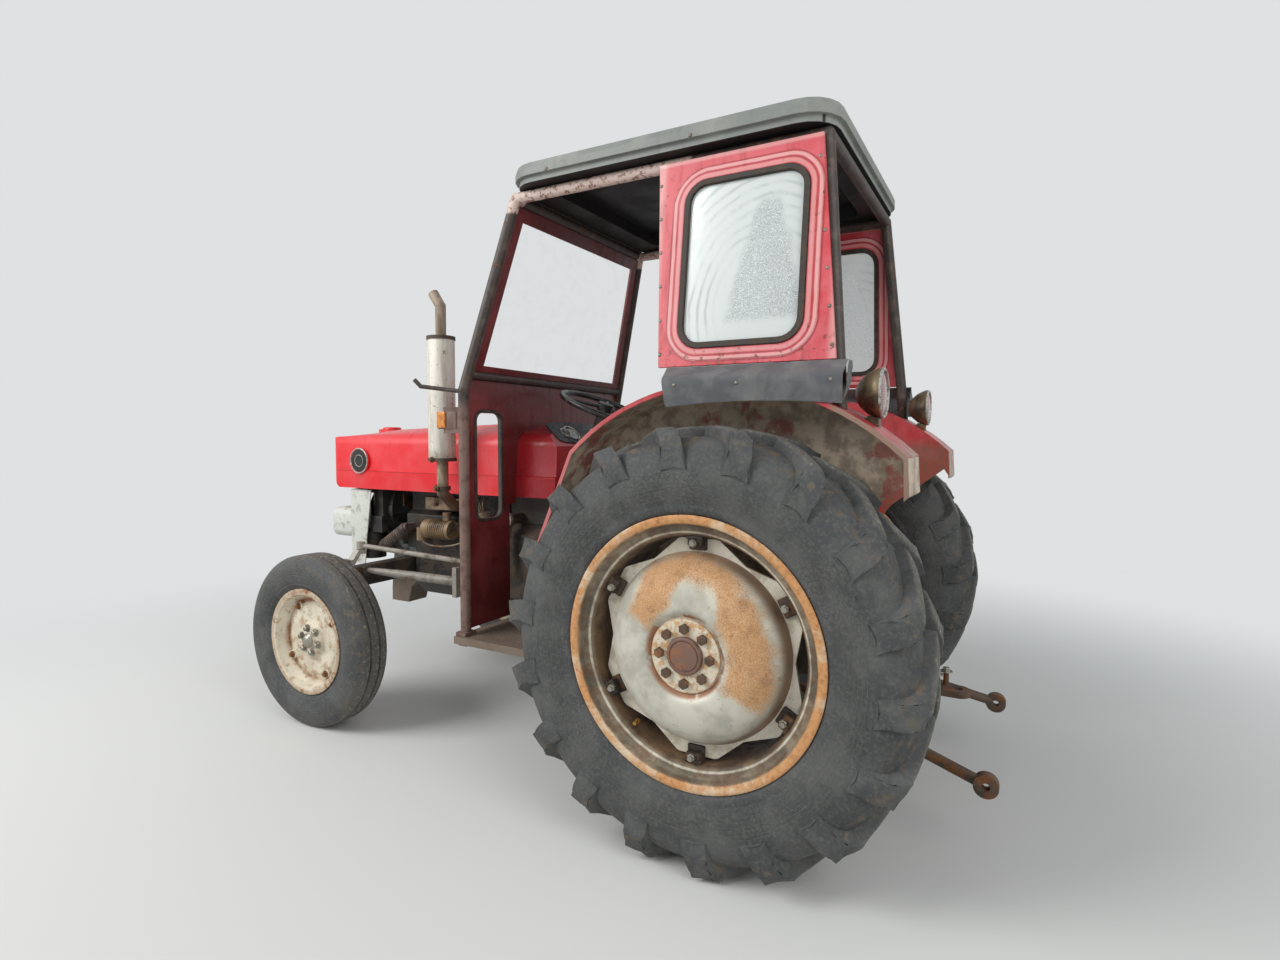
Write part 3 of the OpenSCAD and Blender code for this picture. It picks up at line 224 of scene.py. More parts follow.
room = bpy.data.worlds.new("studio_room")
room.use_nodes = True
nodes = room.node_tree.nodes
nodes.clear()
seen, light = nodes.new("ShaderNodeBackground"), nodes.new("ShaderNodeBackground")
seen.inputs["Color"].default_value = tint("dfe1e2")
light.inputs["Color"].default_value = tint("e9eef2")
light.inputs["Strength"].default_value = 0.52
ray = nodes.new("ShaderNodeLightPath")
either, any_of = nodes.new("ShaderNodeMath"), nodes.new("ShaderNodeMath")
either.operation = any_of.operation = "MAXIMUM"
mixed, room_out = nodes.new("ShaderNodeMixShader"), nodes.new("ShaderNodeOutputWorld")
for source, target in ((ray.outputs["Is Camera Ray"], either.inputs[0]),
                       (ray.outputs["Is Glossy Ray"], either.inputs[1]),
                       (either.outputs[0], any_of.inputs[0]),
                       (ray.outputs["Is Transmission Ray"], any_of.inputs[1]),
                       (any_of.outputs[0], mixed.inputs[0]),
                       (light.outputs[0], mixed.inputs[1]),
                       (seen.outputs[0], mixed.inputs[2]),
                       (mixed.outputs[0], room_out.inputs[0])):
    room.node_tree.links.new(source, target)
scene.world = room
scene.view_settings.view_transform = "Standard"

lit_point = Vector((-0.1, 0.0, 0.9))
for name, spot, size, power in (("key_lamp", Vector((3.6, 4.8, 4.6)), 3.6, 330),
                                ("fill_lamp", Vector((-4.6, 2.6, 3.4)), 3.0, 95)):
    lamp = bpy.data.lights.new(name, "AREA")
    lamp.shape, lamp.size, lamp.energy = "SQUARE", size, power
    lamp_object = bpy.data.objects.new(name, lamp)
    turn = (lit_point - spot).to_track_quat("-Z", "Y").to_matrix().to_4x4()
    lamp_object.matrix_world = Matrix.Translation(spot) @ turn
    scene.collection.objects.link(lamp_object)


# The engine is a grey iron casting under years of oil, dust and some rust. Its
# edges are slightly rounded, as a casting's are, and its bolts stand on flanges.
origin_ahead, wheelbase, rear_axle_z = 755, 1829, 631


def at(x, y, z):
    """Point in metres in the tractor's frame, from millimetres ahead of the rear axle."""
    return Vector((x - origin_ahead, y, z)) / 1000


def weathered(name, body, film, rust, film_size=0.09, film_from=0.46, rust_size=0.05, rust_from=0.57,
              gloss=0.55, metal=0.0, pit=0.0007):
    """Old iron: its own colour, a film of oil or dust over part of it, and spots of rust."""
    made = Finish(name, Metallic=metal)
    filmed = made.patches(film_size, film_from, film_from + 0.16, seed=1.3, bend=0.4)
    rusty = made.patches(rust_size, rust_from, rust_from + 0.08, detail=8.0, rough=0.7, seed=4.1)
    dusty = made.patches(0.012, 0.5, 0.72, detail=4.0, seed=2.2)
    made.base = made.layer(body, (film, filmed), (rust, rusty * 0.85), ("75695a", dusty * 0.22))
    pitted = made.grain(0.006, detail=3.0, seed=6.0) + rusty * 0.6
    made.surface(Base_Color=made.base, Roughness=gloss + 0.28 * rusty + 0.12 * dusty,
                 Normal=made.relief(pitted, pit))
    return made


def placed(name, bm, finish, body="chassis", smooth=40, recalculate=True):
    """A piece from a mesh laid out where it belongs, with smooth shading up to that angle."""
    if recalculate:
        bmesh.ops.recalc_face_normals(bm, faces=bm.faces[:])
    mesh = bpy.data.meshes.new(name)
    bm.to_mesh(mesh)
    bm.free()
    mesh.shade_smooth()
    mesh.set_sharp_from_angle(angle=math.radians(smooth))
    made = bpy.data.objects.new(name, mesh)
    scene.collection.objects.link(made)
    mesh.materials.append(finish.material)
    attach(made, body)
    return made


def dressed(node, finish, edge=1.5, smooth=32, shape=None):
    """A merged copy of a solid, pressed to shape, its edges rounded by some millimetres, in its finish."""
    solid = frame["nodes"][node]
    bm = bmesh.new()
    bm.from_mesh(solid.data)
    bmesh.ops.remove_doubles(bm, verts=bm.verts[:], dist=2e-5)
    bmesh.ops.dissolve_limit(bm, angle_limit=math.radians(0.6), verts=bm.verts[:], edges=bm.edges[:])
    if shape:
        shape(bm)
    made = placed(node + "_dressed", bm, finish, solid["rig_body"], smooth, recalculate=False)
    if edge:
        rounding = made.modifiers.new("rounded_edges", "BEVEL")
        rounding.width = edge / 1000
        rounding.segments = 2
        rounding.limit_method = "ANGLE"
        rounding.angle_limit = math.radians(max(smooth, 28))
        rounding.use_clamp_overlap = True
        rounding.harden_normals = True
    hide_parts(node)


def rounded(bm, edges, offset, segments):
    """Rounds some of a mesh's edges by an offset in metres."""
    bmesh.ops.bevel(bm, geom=edges, offset=offset, offset_type="OFFSET", segments=segments, profile=0.5,
                    affect="EDGES", material=-1)


def facing(spot, toward):
    """The matrix that stands a thing on a spot and turns its top toward a direction."""
    return Matrix.Translation(spot) @ Vector(toward).to_track_quat("Z", "Y").to_matrix().to_4x4()


def cone(bm, sides, foot, top, height, matrix=Matrix()):
    """Adds a closed cone or post round the point that a matrix gives, and returns its vertices."""
    return bmesh.ops.create_cone(bm, cap_ends=True, segments=sides, radius1=foot, radius2=top, depth=height,
                                 matrix=matrix)["verts"]


def bolts(name, spots, radius, height, finish, body="chassis", washer=True):
    """Hexagon heads on washers, each at a point and facing a direction."""
    bm = bmesh.new()
    for spot, toward in spots:
        turn = facing(spot, toward)
        if washer:
            cone(bm, 14, radius * 1.65, radius * 1.6, height * 0.3,
                 turn @ Matrix.Translation((0, 0, height * 0.15)))
        head = cone(bm, 6, radius, radius, height)
        rim = list({e for v in head if v.co.z > 0 for e in v.link_edges if e.other_vert(v).co.z > 0})
        bmesh.ops.transform(bm, matrix=turn @ Matrix.Translation((0, 0, height * 0.75)), verts=head)
        rounded(bm, rim, radius * 0.16, 1)
    placed(name, bm, finish, body, 30)


def ring_of(count, first, reach, centre, out, s):
    """Spots round a wheel's axle that face outward on side s, from degrees and millimetres."""
    turns = [math.radians(first + 360 / count * k) for k in range(count)]
    spots = [Vector((reach * math.cos(turn), s * out, reach * math.sin(turn))) for turn in turns]
    return [(centre + spot / 1000, (0, s, 0)) for spot in spots]


def tube(name, points, radius, finish, body="chassis"):
    """A pipe or wire that bends smoothly through a list of points, as a mesh."""
    line = bpy.data.curves.new(name, "CURVE")
    line.dimensions = "3D"
    line.bevel_depth, line.bevel_resolution, line.resolution_u = radius, 2, 6
    line.use_fill_caps = True
    spline = line.splines.new("NURBS")
    spline.points.add(len(points) - 1)
    for point, where in zip(spline.points, points):
        point.co = (*where, 1)
    spline.order_u, spline.use_endpoint_u = 4, True
    holder = bpy.data.objects.new(name + "_line", line)
    scene.collection.objects.link(holder)
    bpy.context.view_layer.update()
    mesh = bpy.data.meshes.new_from_object(holder.evaluated_get(bpy.context.evaluated_depsgraph_get()))
    bpy.data.objects.remove(holder)
    bm = bmesh.new()
    bm.from_mesh(mesh)
    bpy.data.meshes.remove(mesh)
    placed(name, bm, finish, body, 50)


casting = weathered("oily_casting", "25221f", "3b332a", "573b26", gloss=0.5)
sooty = weathered("sooty_casting", "1b1a1a", "2c2723", "4b3524", gloss=0.6)
plated = weathered("dull_plating", "9c988d", "6d6558", "7a5230", film_from=0.5, rust_from=0.62, gloss=0.36,
                   metal=0.7)
rusty_bolt = weathered("rusty_bolt", "6d5340", "3f322a", "8a5a34", rust_from=0.48, gloss=0.6, metal=0.25)
dressed("engine_block", casting, 4)
bolts("sump_bolts", [(at(1300 + 70 * i, 157 * s, 540), (0, s, 0)) for s in (1, -1) for i in range(7)],
      0.007, 0.007, rusty_bolt)
bolts("head_nuts", [(at(1300 + 82 * i, 92 * s, 985), (0, 0, 1)) for i in range(7) for s in (-1, 1)],
      0.010, 0.012, rusty_bolt)


# The cast support ahead of the engine carries the axle's pivot and the radiator.
# It was painted grey, and now shows brown dirt low down and rust in spots.
support_grey = weathered("support_grey", "8d9090", "5b554b", "6e4b30", film_from=0.44, gloss=0.5)
x, y, z = support_grey.axes()
low_down = 1 - support_grey.step(z, 0.49, 0.54)
support_grey.surface(Base_Color=support_grey.layer(support_grey.base, ("6a5847", low_down * 0.85)))
dressed("front_support", support_grey, 4)
bolts("support_bolts", [(at(1850 + 55 * i, 110 * s, 724), (0, s, 0)) for s in (1, -1) for i in range(4)],
      0.009, 0.008, rusty_bolt)


# The radiator has a black pressed tank over and under a core of thin upright
# fins, with the fan's shroud on its back and an oil-bath air cleaner below.
core_black = Finish("radiator_black", Roughness=0.55)
x, y, z = core_black.axes()
fins = (y * 1400).wave() * core_black.band(z, 0.842, 0.848, 1.066, 1.072)
core_black.dusted("191918", "4a4136", core_black.patches(0.05, 0.42, 0.66), 0.7, 0.5, 0.3,
                  Normal=core_black.relief(fins, 0.0015))
dressed("radiator", core_black, 2)
fan_iron = weathered("fan_iron", "4a3a30", "2c2622", "80502e", rust_from=0.5, gloss=0.62)
dressed("fan", fan_iron, 1)


# The pump, dynamo, filters and manifold hang on the engine's left side. Their
# castings are bronze-brown with oil and dust, and thin steel pipes join them.
unit_brown = weathered("unit_bronze", "8a7357", "4a3c30", "8c6540", film_from=0.52, gloss=0.46, metal=0.15)
dressed("engine_units", unit_brown, 2)
dynamo_y = 206.3
bm = bmesh.new()
for i in range(9):
    fin = cone(bm, 40, 0.0475, 0.0475, 0.0045)
    rims = list({e for v in fin for e in v.link_edges if abs(e.verts[0].co.z - e.verts[1].co.z) < 1e-6})
    bmesh.ops.transform(bm, verts=fin, matrix=Matrix.Translation(at(1500 + 12 * i, dynamo_y, 800))
                        @ Matrix.Rotation(math.pi / 2, 4, "Y"))
    rounded(bm, rims, 0.0012, 1)
placed("dynamo_fins", bm, unit_brown, smooth=30)
bolts("unit_bolts", [(at(1500, 190, 826), (0, 0.4, 1)), (at(1590, 190, 826), (0, 0.4, 1))]
      + [(at(x, 195.5, 918), (0, 1, 0)) for x in (1350, 1430, 1510, 1590)]
      + [(at(1642, dynamo_y, 800), (1, 0, 0))], 0.0085, 0.009, rusty_bolt)
pipe_steel = weathered("pipe_steel", "8a7f6e", "4c4135", "7c4f2d", rust_from=0.52, gloss=0.42, metal=0.5)
for i in range(3):
    tube(f"injector_pipe_{i + 1}", [at(1290 + 10 * i, 212, 890), at(1290 + 10 * i, 216, 925 + 8 * i),
                                    at(1300 + 45 * i, 206, 962 + 6 * i), at(1330 + 110 * i, 170, 968),
                                    at(1340 + 120 * i, 128, 962)], 0.0035, pipe_steel)
tube("fuel_pipe", [at(1300, 248, 800), at(1318, 262, 780), at(1400, 262, 742), at(1560, 250, 722),
                   at(1660, 212, 730), at(1688, 196, 742)], 0.0045, pipe_steel)
tube("dynamo_wire", [at(1475, 214, 806), at(1450, 226, 808), at(1420, 232, 850), at(1380, 214, 880),
                     at(1330, 190, 900)], 0.003, sooty)


# The radiator hoses are moulded black rubber with ribs, stiff and fixed at both
# ends by clips, with a brown film of dust in patches.
hose_rubber = Finish("hose_rubber", Roughness=0.7)
x, y, z = hose_rubber.axes()
ribs = ((x * 0.94 - z * 0.33) * 420).wave()
hose_rubber.dusted("5d5049", "958074", hose_rubber.patches(0.04, 0.4, 0.62), 0.75, 0.6, 0.25,
                   Normal=hose_rubber.relief(ribs, 0.009))
dressed("hoses", hose_rubber, 0)


# The upright exhaust is a pipe from the manifold, a clamp, and a long silencer in
# heat-proof white paint that soot and rust have marked at both of its ends.
def new_verts(made):
    """The vertices that an extrusion has just made."""
    return [g for g in made["geom"] if isinstance(g, bmesh.types.BMVert)]


stack = Finish("silencer_white", Roughness=0.6)
x, y, z = stack.axes()
streaks = stack.patches(0.03, 0.42, 0.66, stretch=(1, 1, 0.12), seed=3.0)
spots = stack.patches(0.018, 0.6, 0.68, detail=8.0, seed=5.0)
low_end = 1 - stack.step(z + 0.06 * stack.grain(0.05), 1.165, 1.215)
rust_end = low_end + stack.step(z - 0.05 * stack.grain(0.04), 1.60, 1.64)
pipe_part = stack.step(z, 1.652, 1.657) + (1 - stack.step(z, 1.119, 1.122))
white = stack.layer("e9e4d8", ("b9ae9c", streaks * 0.7), ("8a6c4f", spots * 0.8),
                    ("8b7b69", rust_end * 0.55))
pipe_brown = stack.layer("7b6a58", ("a2917c", stack.patches(0.03, 0.4, 0.6, stretch=(1, 1, 0.3))),
                         ("563c29", 1 - stack.step(z, 0.95, 1.06)))
stack.surface(Base_Color=stack.layer(white, (pipe_brown, pipe_part)), Roughness=0.5 + 0.25 * streaks,
              Normal=stack.relief(stack.grain(0.008, detail=3.0), 0.0006))
dressed("exhaust", stack, 2)
bm = bmesh.new()
for low, high, r in ((1122, 1136, 60), (1637, 1652, 60), (996, 1014, 33)):
    ring = bmesh.ops.create_circle(bm, cap_ends=False, segments=48, radius=r / 1000,
                                   matrix=Matrix.Translation(at(1396, 347, low)))
    up = bmesh.ops.extrude_edge_only(bm, edges=list({e for v in ring["verts"] for e in v.link_edges}))
    bmesh.ops.translate(bm, vec=(0, 0, (high - low) / 1000), verts=new_verts(up))
bmesh.ops.solidify(bm, geom=bm.faces[:], thickness=0.004)
clamp_dark = weathered("clamp_dark", "3b332c", "57493b", "704a2c", rust_from=0.5, gloss=0.6)
placed("silencer_bands", bm, clamp_dark)
bolts("clamp_bolts", [(at(1396, 384, 1005), (0, 1, 0)), (at(1434, 347, 1005), (1, 0, 0)),
                      (at(1396, 407, 1129), (0, 1, 0))], 0.008, 0.012, rusty_bolt)


# The gearbox and rear casing are bolted castings under caked oil and earth, and
# the drums' casings at the axle's ends carry a ring of bolts each.
earthy = weathered("earthy_casting", "2b2622", "473a2d", "5f4129", film_from=0.42, gloss=0.68, pit=0.0012)
dressed("transmission", earthy, 5)
dressed("rear_axle", earthy, 4)
bolts("casing_bolts", [(at(x, 199 * s, z), (0, s, 0)) for s in (-1, 1) for x in (-150, -60, 60, 120)
                       for z in (545, 780)]
      + [spot for s in (-1, 1) for spot in ring_of(12, 15, 120, at(0, 0, rear_axle_z), 260, s)],
      0.009, 0.009, rusty_bolt)


# The front axle is a straight beam with a sleeve at each end for the king pin,
# and two forged rods, once painted grey, brace it back to the engine's sides.
axle_black = weathered("axle_black", "2c2927", "4c4237", "63442c", film_from=0.44, gloss=0.6)
dressed("front_axle", axle_black, 3)
rod_grey = weathered("rod_grey", "9a958b", "6f6557", "7a5638", film_from=0.47, rust_from=0.58, gloss=0.5)
dressed("radius_rods", rod_grey, 2)
knuckle_grey = weathered("knuckle_grey", "b3afa4", "7b7264", "7a5638", film_from=0.5, rust_from=0.6,
                         gloss=0.46)
link_grey = weathered("link_grey", "a29c90", "655b4e", "74502f", film_from=0.5, gloss=0.5)
for side in ("left", "right"):
    dressed(f"knuckle_{side}", knuckle_grey, 2)
    dressed(f"drag_link_{side}", link_grey, 1)
    dressed(f"drop_arm_{side}", link_grey, 2)
bolts("axle_bolts", [(at(wheelbase, 60 * s, 642), (0, 0, 1)) for s in (-1, 1)]
      + [(at(1364.5, 190 * s, z), (1, 0, 0)) for s in (-1, 1) for z in (600, 640)],
      0.010, 0.009, rusty_bolt)


# Each front wheel is a pressed rim and disc in cream paint, rusty where the tyre
# meets it, on a hub with six nuts and a cap. The ribbed tyre is grey with age.
def turned(outline, centre, way, steps, closed=True):
    """A new ring from an outline of (along, out) millimetres, turned round a line through a centre."""
    bm = bmesh.new()
    way = Vector(way)
    out = Vector((1, 0, 0)) if way.z else Vector((0, 0, 1))
    verts = [bm.verts.new(centre + (way * along + out * radius) / 1000) for along, radius in outline]
    edges = [bm.edges.new(pair) for pair in zip(verts, verts[1:] + verts[:1] if closed else verts[1:])]
    bmesh.ops.spin(bm, geom=verts + edges, cent=centre, axis=[abs(c) for c in way], angle=2 * math.pi,
                   steps=steps, use_merge=True, use_duplicate=False)
    bmesh.ops.remove_doubles(bm, verts=bm.verts[:], dist=5e-6)
    return bm


def both_ways(half):
    """A closed outline from its outer half."""
    return half + [(-out, radius) for out, radius in reversed(half) if out]


def block(bm, matrix, size, offset, segments=2):
    """Adds a box of a size in metres, in the place that a matrix gives, with rounded edges."""
    cube = bmesh.ops.create_cube(bm, size=1, matrix=matrix @ Matrix.Diagonal((*size, 1)))
    rounded(bm, list({e for v in cube["verts"] for e in v.link_edges}), offset, segments)


def from_axle(finish, centre):
    """Distance from a wheel's axle, and its parts ahead and up, in metres."""
    x, y, z = finish.axes()
    dx, dz = x - centre.x, z - centre.z
    return (dx * dx + dz * dz) ** 0.5, dx, dz


def tyre_rubber(name, centre, tread, shoulder, base):
    """Aged rubber: grey walls with fine cracks and raised ridges painted paler as a highlight, earth in the
    hollows and a worn, paler tread.
    """
    made = Finish(name, Specular_IOR_Level=0.35)
    radius = from_axle(made, centre)[0]
    cloud = made.patches(0.12, 0.4, 0.65, seed=2.0)
    fine = made.patches(0.01, 0.45, 0.7, detail=6.0, seed=3.0)
    earth = made.patches(0.03, 0.5, 0.66, seed=8.0)
    crown = made.step(radius, tread - 0.012, tread - 0.001)
    hollow = made.band(radius, base - 0.05, base - 0.012, base + 0.002, base + 0.012)
    scuff = made.patches(0.016, 0.54, 0.64, detail=8.0, rough=0.7, seed=31.0)
    crack = made.node("ShaderNodeTexVoronoi", {"feature": "DISTANCE_TO_EDGE"},
                      {"Vector": made.place(), "Scale": 70.0, "Randomness": 1.0})
    wall = (1 - made.step(radius, shoulder - 0.02, shoulder)) * made.patches(0.15, 0.45, 0.6, seed=9.0)
    cracked = (1 - made.step(crack, 0.0, 0.05)) * wall
    # Thin ridges round the wall are raised in relief and painted paler as a highlight.
    ridge_and_highlight = made.step((radius * 560).wave(), 0.86, 0.99) * made.band(
        radius, shoulder * 0.80, shoulder * 0.81, shoulder - 0.03, shoulder - 0.015)
    colour = made.layer("424344", ("5d5e5d", cloud * 0.8), ("77746b", fine * 0.32),
                        ("6b5f4e", hollow * earth * 0.8), ("736f64", crown * (0.3 + 0.5 * fine)),
                        ("a09c90", crown * scuff * 0.6), ("1d1d1e", cracked * 0.5),
                        ("858379", ridge_and_highlight * 0.35))
    uneven = made.grain(0.004, detail=3.0) * 0.5 + fine * 0.5 - cracked + 2 * ridge_and_highlight
    made.surface(Base_Color=colour, Roughness=0.62 + 0.25 * cloud, Normal=made.relief(uneven, 0.0007))
    return made


front_rim_half = [(20, 181.5), (35, 198), (48, 202), (56.4, 222), (59, 224), (63, 223.6), (65, 220),
                  (64.6, 208), (61, 199.5), (52, 196), (33, 191.5), (17, 175)]
front_tyre_half = [(0, 364), (8, 364), (17, 363.8), (18.2, 355), (25.6, 355), (26.8, 363.6), (40, 363.4),
                   (49, 362.6), (57, 359), (64, 353), (70.5, 344.5), (75.5, 333), (79.5, 319), (81.9, 304),
                   (82.4, 290), (81, 275), (78, 260), (74.5, 251), (72, 247.5), (72.6, 244), (70, 240),
                   (64, 234.5), (59, 229.5), (56.6, 224.5), (47, 202.4)]
front_disc_outline = [(10, 175.5), (11, 166), (12, 161), (16, 152), (21, 145.5), (22, 140), (21.5, 120),
                      (20, 96), (20, 76), (23, 71), (30, 67), (33.5, 60), (35.5, 50), (36, 38), (38, 35.5),
                      (44, 34), (44, 19.4), (-30, 19.4), (-30, 52), (-18, 55), (6, 60), (11, 74), (12, 138),
                      (9, 148), (2, 160.5), (2, 175.5)]
front_cap_outline = [(63, 0), (62, 10), (59, 19), (54, 25), (49, 27.5), (47, 31), (43, 31), (42, 26),
                     (42, 0)]
for side, s in (("left", 1), ("right", -1)):
    centre = at(wheelbase, 656 * s, 364)
    way = (0, s, 0)
    body = f"front_wheel_{side}"
    rubber = tyre_rubber(f"front_rubber_{side}", centre, 0.364, 0.34, 0.35)
    bm = turned(both_ways(front_tyre_half), centre, way, 120)
    tyre = placed(f"front_tyre_ribbed_{side}", bm, rubber, body, 28)
    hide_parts(f"front_tyre_{side}")

    cream = Finish(f"front_cream_{side}", Specular_IOR_Level=0.45)
    radius = from_axle(cream, centre)[0]
    blotch = cream.patches(0.035, 0.52, 0.64, detail=8.0, rough=0.68, seed=11.0 + s)
    broad = cream.patches(0.11, 0.42, 0.62, seed=5.0)
    lip = cream.step(radius + 0.012 * cream.grain(0.03, seed=2.0), 0.203, 0.216)
    corner = cream.band(radius, 0.158, 0.166, 0.176, 0.19)
    paint = cream.layer("d9d0bb", ("b7ab93", broad * 0.6), ("9a6a40", blotch * 0.6),
                        ("8c5a33", corner * (0.25 + 0.6 * broad)), ("8f5d36", lip * (0.45 + 0.45 * blotch)))
    cream.surface(Base_Color=paint, Roughness=0.48 + 0.3 * blotch,
                  Normal=cream.relief(cream.grain(0.01) + blotch, 0.0006))
    rim = placed(f"front_rim_ring_{side}", turned(both_ways(front_rim_half), centre, way, 120), cream, body)
    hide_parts(f"front_rim_{side}")
    placed(f"front_disc_{side}", turned(front_disc_outline, centre, way, 96), cream, body)
    placed(f"front_hub_cap_{side}", turned(front_cap_outline, centre, way, 40, closed=False), plated, body)
    bolts(f"front_hub_nuts_{side}", ring_of(6, 14, 52, centre, 34, s), 0.0105, 0.014, plated, body)
    bm = bmesh.new()
    for k in range(4):
        block(bm, Matrix.Translation(centre + Vector((0, s * 0.017, 0)))
              @ Matrix.Rotation(math.radians(90 * k + 32), 4, "Y") @ Matrix.Translation((0.160, 0, 0)),
              (0.034, 0.018, 0.040), 0.005)
    placed(f"front_rim_lugs_{side}", bm, cream, body)
    bolts(f"front_lug_bolts_{side}", ring_of(4, -32, 158, centre, 26, s), 0.009, 0.011, rusty_bolt, body)


# Each rear wheel is a deep rim of rusted steel and a pale six-lobed plate bolted
# to it, with a silver dome that a broad arc of rust crosses, round a cream hub.
rear_tyre_half = [(0, 599), (60, 598), (95, 594), (114, 587), (129, 577), (141, 560), (149, 541),
                  (154.5, 520), (156.6, 508), (157.9, 503), (157.6, 496), (157.9, 480), (156, 462),
                  (152, 445), (146.5, 428), (142.5, 418), (141.4, 413.5), (142, 409), (139.8, 404),
                  (138.4, 398), (134.8, 392), (131, 388), (129.7, 386.4), (120, 364.4)]
rear_rim_half = [(95.3, 330.3), (111.8, 360), (121, 364), (126, 371), (129.3, 383), (132, 385.8),
                 (135.5, 385.6), (137.8, 382), (137.9, 375), (136.4, 366), (131.5, 359.5), (122, 356.5),
                 (114.5, 354.5), (110.8, 350.5), (109.4, 344), (108.6, 338.5), (106.4, 334.4), (102.6, 332),
                 (98.5, 329.5), (94, 325.4), (88, 323.4)]
dome_outline = [(139, 98), (138.2, 106), (141, 110), (146, 114), (150.5, 119), (154.5, 126), (157, 135),
                (158, 146), (157.5, 158), (156, 170), (153, 182), (149, 195), (143.5, 207), (137, 218),
                (129.5, 228), (120.5, 238), (110.5, 246.5), (100, 254), (90, 260.5), (80, 266), (70, 270.2),
                (62, 273.2), (59, 276), (53, 276), (53, 265), (64, 262), (88, 250), (108, 234), (125, 214),
                (137, 192), (144, 168), (146.5, 146), (144, 128), (136, 114), (133, 98)]
hub_disc_outline = [(133, 103.4), (142.6, 104), (144.6, 103), (145.4, 100), (145.4, 70), (144.8, 56),
                    (143, 52), (143, 0)]
hub_cap_outline = [(143, 53.5), (150.6, 53), (153.6, 51.2), (154.8, 48), (154.6, 44.6), (151.8, 43.2),
                   (151.2, 41.6), (153.6, 40.2), (154.4, 36), (155.2, 18), (155.4, 0)]
hub_outline = [(132.6, 0), (132.6, 62), (70.4, 62), (70.4, 0)]
lug_stations = [(-6, 630.6, -6, 590, 129, 62), (20, 630.6, 20, 590, 104, 60), (48, 630.4, 48, 590, 77, 59),
                (78, 630, 76, 589, 49, 59), (104, 629, 100, 584, 24, 60), (126, 625, 118, 576, 6, 62),
                (142, 616, 130, 562, -5, 64), (151, 601, 139, 545, -13, 68), (157, 578, 146, 528, -19, 72),
                (161, 545, 151, 512, -22, 75), (160.5, 516, 153, 500, -24, 77)]


def lug():
    """One tread bar: a strip raised off the casing and wrapped round it, with rounded edges."""
    bm = bmesh.new()
    rows = len(lug_stations) - 1
    bmesh.ops.create_grid(bm, x_segments=2, y_segments=rows, size=1)
    top = set(new_verts(bmesh.ops.extrude_face_region(bm, geom=bm.faces[:])))
    for v in bm.verts:
        out_top, r_top, out_base, r_base, lead, width = lug_stations[round((v.co.y + 1) / 2 * rows)]
        if v in top:
            out, r, half_width = out_top, r_top - 1.2 * abs(v.co.x), width / 2
        else:
            out, r, half_width = out_base, r_base, width / 2 * 1.22
        turn = (lead + v.co.x * half_width) / 610
        v.co = Vector((math.sin(turn) * r, out, math.cos(turn) * r)) / 1000
    rounded(bm, [e for e in bm.edges if all(v in top for v in e.verts) and len(e.link_faces) == 2
                 and any(not all(v in top for v in f.verts) for f in e.link_faces)], 0.0055, 2)
    mesh = bpy.data.meshes.new("lug")
    bm.to_mesh(mesh)
    bm.free()
    return mesh


def lobed(degrees):
    """Reach of the six-lobed plate, in metres, at an angle from a lobe's middle."""
    def heading(angle):
        return Vector((math.cos(math.radians(angle)), math.sin(math.radians(angle))))

    corner, notch, way = 0.318 * heading(11), 0.281 * heading(30), heading(degrees)
    if degrees <= 11:
        return corner.x / way.x
    run = notch - corner
    return max(0.2805, (corner.x * run.y - corner.y * run.x) / (way.x * run.y - way.y * run.x))


